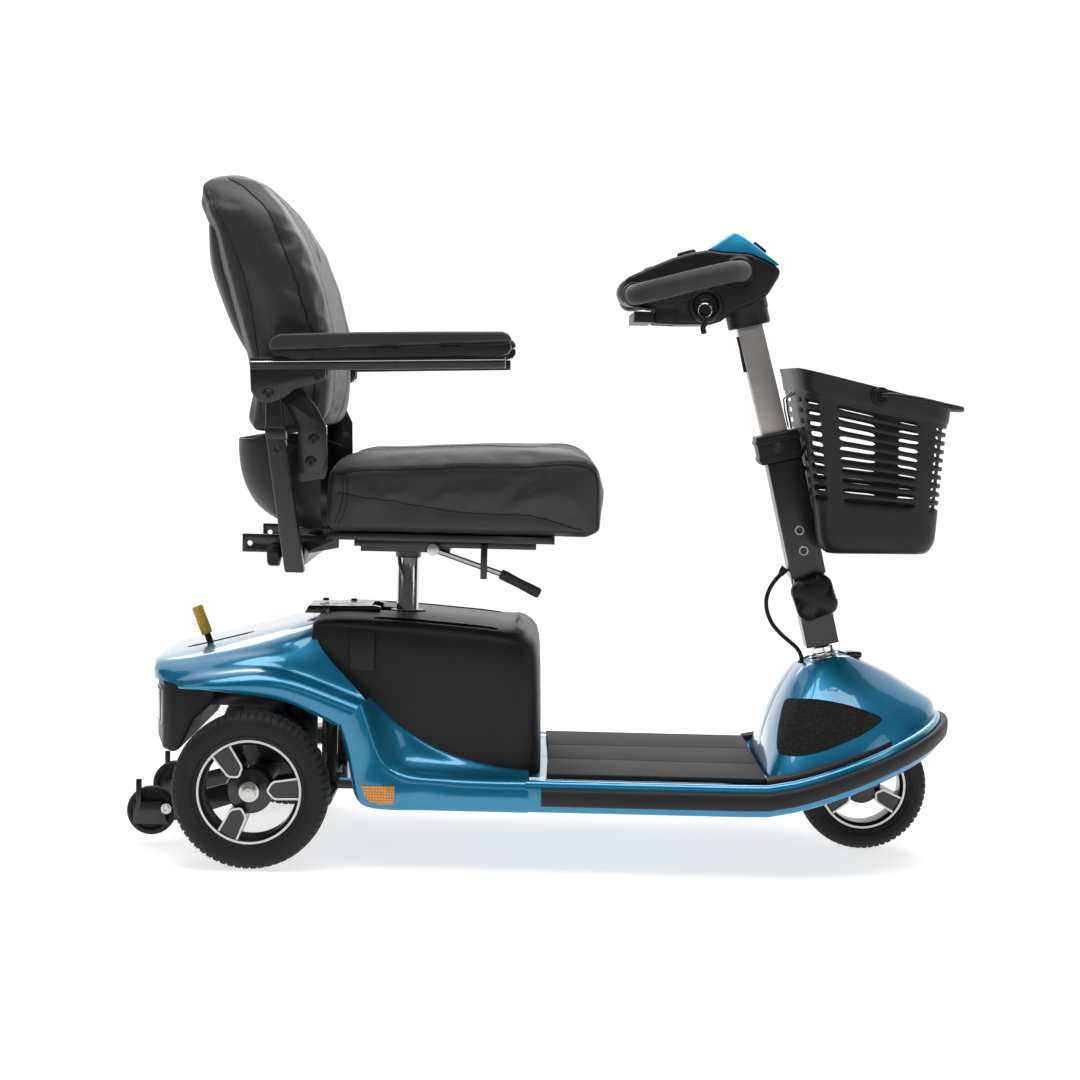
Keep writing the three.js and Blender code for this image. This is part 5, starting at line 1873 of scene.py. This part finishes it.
# ------------------------------------------------------------------ upholstery helpers
class Upholstery:
    """Steps that turn a plain closed form into a stuffed and sewn one."""

    @staticmethod
    def puff(thing: Object, voxel: float, pressure: float, cap: float, passes: int = 4) -> Object:
        """Swells a closed form as a cloth bag under pressure.

        Args:
            thing: the closed form, a little smaller than the finished one.
            voxel: the remesh size in millimetres.
            pressure: the cloth's pressure.
            cap: how far a point may move, in millimetres.
            passes: smoothing passes before and after.

        Returns:
            The same piece, with the result in its mesh.
        """
        Bench.modifier(thing, "REMESH", mode="VOXEL", voxel_size=voxel * MM)
        Bench.modifier(thing, "SMOOTH", factor=0.5, iterations=passes * 3)
        rest = [v.co.copy() for v in thing.data.vertices]
        Bench.take(thing)
        cloth = thing.modifiers.new("stuffing", "CLOTH")
        made = cloth.settings
        made.quality = 5
        made.mass = 0.3
        made.tension_stiffness = made.compression_stiffness = 12
        made.shear_stiffness = 6
        made.bending_stiffness = 0.6
        made.use_pressure = True
        made.uniform_pressure_force = pressure
        made.effector_weights.gravity = 0.0
        cloth.collision_settings.use_self_collision = False
        cloth.point_cache.frame_start, cloth.point_cache.frame_end = 1, 20
        scene = bpy.context.scene
        for number in range(1, 21):
            scene.frame_set(number)
        Bench.take(thing)
        bpy.ops.object.modifier_apply(modifier="stuffing")
        scene.frame_set(1)
        limit = cap * MM
        for vertex, before in zip(thing.data.vertices, rest):
            moved = vertex.co - before
            if moved.length > limit:
                vertex.co = before + moved * (limit / moved.length)
        return Bench.modifier(thing, "SMOOTH", factor=0.5, iterations=passes)

    @staticmethod
    def pinch(thing: Object, line: Sequence[Vector], depth: float, reach: float,
              pull: Vector | None = None) -> Object:
        """Sinks a sewn groove along a line.

        Args:
            thing: the piece.
            line: points along the seam.
            depth: the groove's depth in millimetres.
            reach: its half width in millimetres.
            pull: which way it sinks; inwards along each point's normal if there is none.

        Returns:
            The same piece.
        """
        tree = kdtree.KDTree(len(line))
        for index, point in enumerate(line):
            tree.insert(point, index)
        tree.balance()
        normals = [v.normal.copy() for v in thing.data.vertices]
        for vertex, normal in zip(thing.data.vertices, normals):
            _, _, away = tree.find(vertex.co)
            if away < reach * 3 * MM:
                sink = depth * math.exp(-((away / (reach * MM)) ** 2))
                vertex.co += (pull if pull else -normal) * sink * MM
        return thing

    @staticmethod
    def lay_on(thing: Object, line: Sequence[Vector], lift: float = 0.0) -> list[Vector]:
        """Drops a line onto a piece's surface, lifted off it by some millimetres."""
        tree = thing.closest_point_on_mesh
        laid = []
        for point in line:
            found, place, normal, _ = tree(point)
            laid.append(place + normal * lift * MM if found else point)
        return laid

    @staticmethod
    def stitch(name: str, thing: Object, keys: Sequence[Point], body: str, width: float = 1.1,
               depth: float = 2.4, reach: float = 5.0, count: int = 120) -> Object:
        """A groove with piping in it, along key points given in millimetres."""
        line = Upholstery.lay_on(thing, spline([spot(*key) for key in keys], count))
        Upholstery.pinch(thing, line, depth, reach)
        laid = Upholstery.lay_on(thing, line, width * 0.15)
        seam = Bench.tube(name, laid, width * MM, 8)
        return fit(seam, Look.PIPING, body, "leather", angle=60)


# ------------------------------------------------------------------ seat
@dataclass
class Seat:
    """Post, swivel, pan, shell, cushions and armrests."""

    def build(self) -> None:
        """Makes every piece."""
        self.post()
        self.shell()
        self.cushion()
        self.backrest()
        for name, side in (("right", -1), ("left", 1)):
            self.armrest(name, side)

    def post(self) -> None:
        """Chrome post, swivel plate with its lever, and the pan."""
        refinish("seat_post", Look.CHROME, 0.8)
        refinish("swivel_plate", Look.COAT, 1.2)
        pan = refinish("seat_pan", Look.COAT, 1.2)
        for vertex in pan.data.vertices:
            point = vertex.co
            x = (point.x - AXLE) / MM
            if x < 100 and 0.118 < abs(point.y) < 0.128:
                point.z -= 0.009
                point.x -= 0.017 * (1 - blend_smoothly(x, 5, 30))
            point.x = min(point.x, AXLE + 0.432)
        collar = [(17.2, -14), (19, -14), (20, -12), (20, -4), (27, -3), (27, 0), (17.2, 0),
                  (17.2, -14)]
        made = Bench.turned("swivel_socket", in_metres(collar), spot(207, 0, 452),
                            Vector((0, 0, 1)), 48)
        fit(made, Look.COAT, "swivel", "black_steel")
        ring = [(17.3, 0), (25, 0), (25, 3), (24, 4), (17.3, 4), (17.3, 0)]
        made = Bench.turned("post_ring", in_metres(ring), spot(207, 0, 353),
                            Vector((0, 0, 1)), 48)
        fit(made, Look.COAT, "chassis", "black_steel")
        pivot = Bench.rod("pivot", 0.009, spot(250, -108, 458), spot(250, -93, 458), 32)
        bar = Bench.rod("bar", 0.0042, spot(250, -102, 458), spot(360, -102, 421.3), 6)
        lever = Bench.join("swivel_bar", [bar, Bench.bevel(pivot, 0.8, 2)])
        fit(lever, Look.ZINC, "swivel_lever", "black_steel", "swivel_lever")
        start, end = spot(352, -102, 424), spot(413, -102, 394.5)
        axis = end - start
        shape = [(0, 0), (6.4, 0), (7.6, 2), (7.9, 8), (7.2, 30), (7.9, 52), (8, 63), (6.5, 66.5),
                 (0, 67.5)]
        grip = Bench.turned("swivel_grip", in_metres(shape), start, axis, 32)
        fit(grip, Look.GRIP, "swivel_lever", "black_steel")

    def shell(self) -> None:
        """The moulded tray behind and beside the cushion."""
        levels = ((621, -41, 213), (616, -41, 213.5), (598, -40.5, 213.5), (575, -38, 213),
                  (552, -31, 212), (532, -21, 210), (517, -9, 206), (505, 7, 199), (496, 28, 188),
                  (488.5, 52, 172), (487, 68, 150), (487, 80, 90), (487, 88, 20))
        ahead = 91
        rows = []
        for height, rear, half in levels:
            radius = min(86.0, half - 5, ahead - rear - 1)
            run = [(ahead, -half)]
            run += [(rear + radius - radius * math.sin(a), -half + radius - radius * math.cos(a))
                    for a in (math.pi / 2 * i / 9 for i in range(10))]
            run += [(rear, (half - radius) * s) for s in (-0.66, -0.33, 0.0, 0.33, 0.66)]
            run += [(rear + radius - radius * math.cos(a), half - radius + radius * math.sin(a))
                    for a in (math.pi / 2 * i / 9 for i in range(10))]
            run += [(ahead, half)]
            rows.append([spot(x, y, height - (20 * blend_smoothly(x, 20, 90) if height > 600 else 0))
                         for x, y in run])
        made = Bench.weld(Bench.grid("seat_tray", rows))
        Bench.thicken(made, 3.6)
        Bench.subdivide(made)
        pins = []
        for side in (-1, 1):
            pins.append(Bench.rod("pin", 0.0055, spot(76, side * 205, 590), spot(76, side * 222, 590),
                                  24))
        made = Bench.join("seat_tray", [made, *pins])
        fit(made, Look.GRAINED, "seat", "textured_plastic", "seat_shell", angle=40)

    def cushion(self) -> None:
        """The seat cushion: raised bolsters, a ribbed centre and sewn side panels."""
        low = [(93, 204, 489), (500, 204, 489), (93, 120, 489)]
        rim = [(94, 208, 560), (94, 203, 576), (150, 209, 583), (300, 209, 594), (450, 209, 600),
               (488, 209, 598), (502, 203, 580), (503, 203, 498)]
        crown = [(97, 120, 588), (150, 120, 602), (330, 130, 611), (450, 130, 612), (492, 150, 600)]
        made = self.hull("seat_cushion_bag", [*low, *rim, *crown])
        Upholstery.puff(made, 6.0, 4.0, 7.0)
        bottom = 0.487
        for vertex in made.data.vertices:
            point = vertex.co
            x, y, z = (point.x - AXLE) / MM, point.y / MM, point.z
            if z > 0.57:
                dish = (1 - blend_smoothly(abs(y), 70, 165)) * blend_smoothly(x, 110, 190)
                point.z -= dish * 9 * MM * (1 - 0.75 * blend_smoothly(x, 380, 490))
            if z < bottom:
                point.z = bottom
            point.y = max(-0.2145, min(0.2145, point.y))
            point.x = max(AXLE + 0.0925, min(AXLE + 0.509, point.x))
        body = "seat"
        for name, side in (("right", -1), ("left", 1)):
            edge = ((96, side * 209, 578), (150, side * 211, 588), (260, side * 212, 593),
                    (380, side * 212, 597), (455, side * 211, 599), (486, side * 207, 590),
                    (500, side * 197, 570))
            Upholstery.stitch(f"cushion_edge_{name}", made, edge, body, 1.5, 2.6, 5.0)
            sweep = ((112, side * 212, 545), (190, side * 214, 533), (290, side * 214, 520),
                     (390, side * 214, 516), (440, side * 213, 505), (470, side * 212, 492))
            Upholstery.stitch(f"cushion_sweep_{name}", made, sweep, body, 0.9, 1.6, 5.0)
            for offset in (0, 6):
                corner = ((112 + offset, side * 211, 584), (120 + offset, side * 213, 570),
                          (121 + offset, side * 213, 545), (117 + offset, side * 212, 520),
                          (108 + offset, side * 210, 498))
                Upholstery.stitch(f"cushion_corner_{offset}_{name}", made, corner, body, 0.7, 1.4, 3.2,
                                  60)
            front = ((500, side * 199, 571), (504, side * 205, 540), (505, side * 206, 515),
                     (503, side * 205, 492))
            Upholstery.stitch(f"cushion_front_{name}", made, front, body, 1.0, 1.6, 4.0, 60)
            panel = ((100, side * 92, 592), (180, side * 108, 602), (300, side * 112, 608),
                     (380, side * 96, 610), (440, side * 112, 612), (478, side * 150, 606),
                     (500, side * 188, 582))
            Upholstery.stitch(f"cushion_panel_{name}", made, panel, body, 1.0, 2.4, 6.0)
        made.data.materials.append(Look.VINYL.material)

        def ribbed(face: bpy.types.MeshPolygon) -> bool:
            """Tells the cloth strip between the two panel seams."""
            x, y = (face.center.x - AXLE) / MM, abs(face.center.y / MM)
            half = 92 + 16 * blend_smoothly(x, 100, 190) - 14 * blend_smoothly(x, 300, 380)
            half += 100 * blend_smoothly(x, 385, 505)
            return face.center.z > 0.57 and face.normal.z > 0.25 and y < half

        paint(made, Look.CLOTH, ribbed)
        Bench.subdivide(made)
        fit(made, Look.VINYL, body, "leather", "seat_cushion", angle=60)

    @staticmethod
    def hull(name: str, corners: Sequence[Point]) -> Object:
        """The closed form round corner points given for the left side, in millimetres."""
        points = [spot(x, y * side, z) for x, y, z in corners for side in (1, -1)]
        made = Bench.polygon(name, points)
        return Bench.edit(made, lambda: bpy.ops.mesh.convex_hull(),
                          lambda: bpy.ops.mesh.normals_make_consistent(inside=False))

    def backrest(self) -> None:
        """The backrest: a bowed cushion with a darker insert, a pouch behind and its hinge plates."""
        profile = [(-22, 628), (-10, 690), (-19, 740), (-46, 830), (-70, 912), (-94, 962), (-108, 990),
                   (-94, 1008), (-60, 1014), (-22, 1001), (13, 965), (49, 909), (76, 838), (91, 774),
                   (92, 700), (89, 652), (78, 631)]
        made = Bench.side_plate("backrest_bag", profile, -206, 206)
        face = [(-192, 622), (-204, 720), (-204, 880), (-187, 956), (-150, 1000), (-90, 1016),
                (90, 1016), (150, 1000), (187, 956), (204, 880), (204, 720), (192, 622)]
        Bench.carve(made, Bench.prism("face", [spot(-140, y, z) for y, z in face],
                                      Vector((0.26, 0, 0))),
                    operation="INTERSECT")
        Upholstery.puff(made, 6.0, 4.0, 7.0, 5)
        for vertex in made.data.vertices:
            point = vertex.co
            point.y = max(-0.2105, min(0.2105, point.y))
            point.z = max(0.6265, point.z)
        body = "backrest"
        for name, side in (("right", -1), ("left", 1)):
            edge = ((-60, side * 140, 1012), (-30, side * 170, 995), (2, side * 188, 960),
                    (38, side * 202, 880), (64, side * 207, 810), (76, side * 207, 760),
                    (78, side * 205, 700), (74, side * 200, 645))
            Upholstery.stitch(f"backrest_edge_{name}", made, edge, body, 1.3, 2.4, 5.0)
            rear = ((-86, side * 170, 990), (-72, side * 196, 950), (-48, side * 207, 905),
                    (-28, side * 209, 850), (-14, side * 209, 790), (-8, side * 207, 730),
                    (-6, side * 203, 660))
            Upholstery.stitch(f"backrest_rear_{name}", made, rear, body, 0.9, 1.8, 5.0)
            insert = ((-50, side * 84, 1016), (-8, side * 88, 992), (30, side * 100, 948),
                      (60, side * 112, 890), (84, side * 120, 820), (96, side * 116, 750),
                      (98, side * 104, 690), (94, side * 96, 640))
            Upholstery.stitch(f"backrest_insert_{name}", made, insert, body, 1.0, 2.6, 7.0)
            slash = ((-4, side * 92, 988), (30, side * 60, 950), (56, side * 24, 905),
                     (62, side * 2, 890))
            Upholstery.stitch(f"backrest_slash_{name}", made, slash, body, 0.8, 1.6, 5.0, 60)
        made.data.materials.append(Look.VINYL.material)

        def ribbed(face: bpy.types.MeshPolygon) -> bool:
            """Tells the insert's upper part, in cloth."""
            x, y, z = (face.center.x - AXLE) / MM, abs(face.center.y / MM), face.center.z / MM
            half = 86 + 30 * blend_smoothly(1000 - z, 0, 150) - 16 * blend_smoothly(800 - z, 0, 140)
            return y < half and x > -150 + (1018 - z) * 0.4 and face.normal.x + face.normal.z > 0.5

        paint(made, Look.CLOTH, ribbed)
        Bench.subdivide(made)
        fit(made, Look.VINYL, body, "leather", "backrest_cushion", angle=60)
        self.pouch()
        self.hinges()

    def pouch(self) -> None:
        """The slack pocket sewn behind the backrest."""
        stations = ((734, -16, 20, 128), (755, -24, 26, 142), (785, -34, 34, 150), (815, -42, 38, 153),
                    (850, -53, 41, 154), (880, -62, 41, 153), (915, -72, 32, 151), (938, -81, 22, 148),
                    (948, -86, 8, 144))
        rows = []
        for z, skin, bulge, half in stations:
            row = []
            for step in range(33):
                turn = math.pi * step / 32
                y = -half * math.cos(turn)
                out = bulge * (math.sin(turn) ** 0.45) + 1.2 * math.sin(7 * turn) * math.sin(turn)
                row.append(spot(skin + 6 - out, y, z))
            row += [spot(skin + 8, y, z) for y in (half * 0.6, 0, -half * 0.6)]
            row.append(row[0])
            rows.append(row)
        ends = [[sum(r, Vector()) / len(r)] * len(r) for r in (rows[0], rows[-1])]
        made = Bench.weld(Bench.grid("backrest_pouch", [ends[0], *rows, ends[1]]))
        Bench.subdivide(made, 2)
        fit(made, Look.VINYL, "backrest", "leather", angle=60)
        hem = [spot(-87 + 6 - 6 * math.sin(math.pi * s / 32) ** 0.45 - 3,
                    -144 * math.cos(math.pi * s / 32), 951)
               for s in range(33)]
        band = Bench.tube("pouch_hem", hem, 0.0026, 10)
        fit(band, Look.PIPING, "backrest", "leather", angle=60)

    def hinges(self) -> None:
        """Hinge plates with their bolts."""
        outline = ((58, 574), (92, 574), (99, 600), (98, 640), (84, 668), (58, 700), (10, 716),
                   (-4, 708), (-4, 690), (34, 676), (56, 640))
        plates = []
        for side in (-1, 1):
            y0, y1 = sorted((side * 215.6, side * 220))
            plates.append(Bench.bevel(Bench.side_plate("plate", outline, y0, y1), 1.0, 2))
        plates.append(Bench.block("bar", spot(0, -217, 694), spot(8, 217, 708)))
        made = Bench.join("backrest_hinge", plates)
        fit(made, Look.COAT, "backrest", "black_steel", "backrest_frame")
        for name, side in (("right", -1), ("left", 1)):
            for index, (x, z) in enumerate(((76, 590), (80, 622), (6, 703))):
                bolt(f"hinge_bolt_{index}_{name}", spot(x, side * 220.4, z), Vector((0, side, 0)), 5.6,
                     Look.COAT, "backrest", "black_steel", 8.5)
            shield = [(40, 566), (60, 560), (96, 566), (100, 580), (99, 612), (93, 624), (74, 628),
                      (58, 622), (48, 600)]
            plate = Bench.side_plate(f"hinge_shield_{name}", shield, side * 213.6, side * 215.2)
            Bench.bevel(plate, 0.5, 2)
            fit(plate, Look.COAT, "seat", "textured_plastic")

    def armrest(self, name: str, side: int) -> None:
        """One armrest: soft top, tray, rail, post and star knob."""
        body = f"armrest_{name}"
        outer = side * 277.6
        inner = side * 222.4
        top = [(20.5, 748), (20.5, 760), (25, 768), (36, 772.6), (150, 778), (250, 781), (350, 783.4),
               (359, 780), (362.8, 774), (362.8, 768.4)]
        pad = Bench.side_plate("armrest_top", top, min(outer, inner), max(outer, inner))
        Bench.bevel(pad, 6.0, 5, 40)
        pad.name = f"armrest_top_{name}"
        fit(pad, Look.VINYL, body, "black_plastic", f"armrest_pad_{name}", angle=50)
        tray_outline = [(20.5, 747), (362.6, 767.2), (362.6, 758), (358, 752), (348, 749), (78, 739),
                        (66, 737), (52, 737.5), (40, 741.5), (28, 742)]
        tray = Bench.side_plate("armrest_tray", tray_outline, min(outer, inner), max(outer, inner))
        Bench.bevel(tray, 2.2, 3, 40)
        parts = [tray]
        for x in (102, 190, 278):
            for face in (outer, inner):
                rise = 737.5 + (x - 60) * 0.037
                keys = [(x - 20, rise + 2), (x - 16, rise + 16), (x - 14, rise + 18),
                        (x + 13, rise + 18), (x + 15, rise + 16), (x + 19, rise + 3)]
                line = [spot(px, face, pz) for px, pz in keys]
                parts.append(Bench.tube("outline", line, 0.0009, 6))
        made = Bench.join(f"armrest_tray_{name}", parts)
        fit(made, Look.BLACK, body, "black_plastic", angle=40)
        self.bracket(name, side, body)
        for x, z in ((19, 687), (88, 713)):
            bolt(f"bracket_bolt_{x}_{name}", spot(x, side * 270.2, z), Vector((0, side, 0)), 6.0,
                 Look.COAT, body, "black_steel", 8.5)
        upright = ((14, 702), (33, 702), (41, 634), (73, 432), (45, 432), (14, 634))
        bar = Bench.bevel(Bench.side_plate("bar", upright, side * 250 - 12, side * 250 + 12), 3.0, 3)
        y0, y1 = sorted((side * 95, side * 249))
        stub = Bench.bevel(Bench.block("stub", spot(43, y0, 440), spot(63, y1, 460)), 1.5, 2)
        post = Bench.join(f"armrest_upright_{name}", [bar, stub])
        fit(post, Look.COAT, f"arm_post_{name}", "black_steel", f"armrest_post_{name}")
        sleeve_line = [(13, 640), (42, 640), (44, 622), (15.6, 622)]
        sleeve = Bench.side_plate(f"post_sleeve_{name}", sleeve_line, side * 250 - 13.5,
                                  side * 250 + 13.5)
        Bench.bevel(sleeve, 2.0, 3)
        fit(sleeve, Look.COAT, f"arm_post_{name}", "black_steel")
        bolt(f"post_bolt_{name}", spot(32, side * 262.2, 606), Vector((0, side, 0)), 5.2, Look.GLOSS,
             f"arm_post_{name}", "black_steel", 7.5)
        bolt(f"post_pin_{name}", spot(28, side * 262.2, 655), Vector((0, side, 0)), 3.0, Look.GLOSS,
             f"arm_post_{name}", "black_steel")
        self.star(name, side)

    @staticmethod
    def bracket(name: str, side: int, body: str) -> None:
        """The grooved rail under the tray and the two cheeks that hang from it."""
        rail = ((-8, 738), (355, 748.4), (355, 732), (-8, 719))
        y0, y1 = side * 250 - 20, side * 250 + 20
        parts = [Bench.bevel(Bench.side_plate("rail", rail, y0, y1), 1.6, 3)]
        cheek = ((-8, 722), (100, 726), (100, 712), (88, 704), (52, 694), (34, 679), (20, 674),
                 (4, 677), (-6, 690))
        for low in (y0, y1 - 7):
            parts.append(Bench.bevel(Bench.side_plate("cheek", cheek, low, low + 7), 1.4, 3))
        made = Bench.join(f"armrest_rail_{name}", parts)
        fit(made, Look.COAT, body, "black_steel", f"armrest_bracket_{name}")
        for rise in (0.0, 5.0):
            line = [spot(-7, side * 270, 727 + rise), spot(354, side * 270, 738.6 + rise)]
            strip = Bench.tube(f"rail_groove_{int(rise)}_{name}", line, 0.0008, 6)
            fit(strip, Look.ZINC if rise else Look.GLOSS, body, "black_steel")

    @staticmethod
    def star(name: str, side: int) -> None:
        """The star knob that clamps the armrest's width."""
        centre = spot(42, side * 160, 450)
        rows = [(0, 0), (4, 0), (4, 13), (9, 14), (17, 16), (18.2, 19), (18.2, 30), (16.5, 33),
                (10, 34), (0, 34)]

        def lobed(reach: float, index: int, angle: float) -> float:
            """Six scallops."""
            return reach * (1 - 0.14 * (0.5 - 0.5 * math.cos(6 * angle))) if 4 <= index <= 7 else reach

        made = Bench.turned(f"arm_knob_{name}_star", in_metres(rows), centre,
                            Vector((-1, 0, 0)), 72, lobed)
        fit(made, Look.BLACK, f"arm_knob_{name}", "black_plastic", f"armrest_knob_{name}", angle=36)


def main() -> None:
    """Builds the studio and every visual piece."""
    Studio().build()
    ControlCable().build()
    wheels = (
        ("rear_right", "rear_tyre_right", "rear_rim_right", "rear_wheel_right", 8.0),
        ("rear_left", "rear_tyre_left", "rear_rim_left", "rear_wheel_left", 8.0),
        ("front", "front_tyre", "front_rim", "front_wheel", 6.0),
    )
    for row in wheels:
        RoadWheel(*row, turn=-28.0 if row[0] == "front" else 5.0).build()
    Bodywork().build()
    RunningGear().build()
    Tiller().build()
    Basket().build()
    Seat().build()


if __name__ == "__main__":
    main()
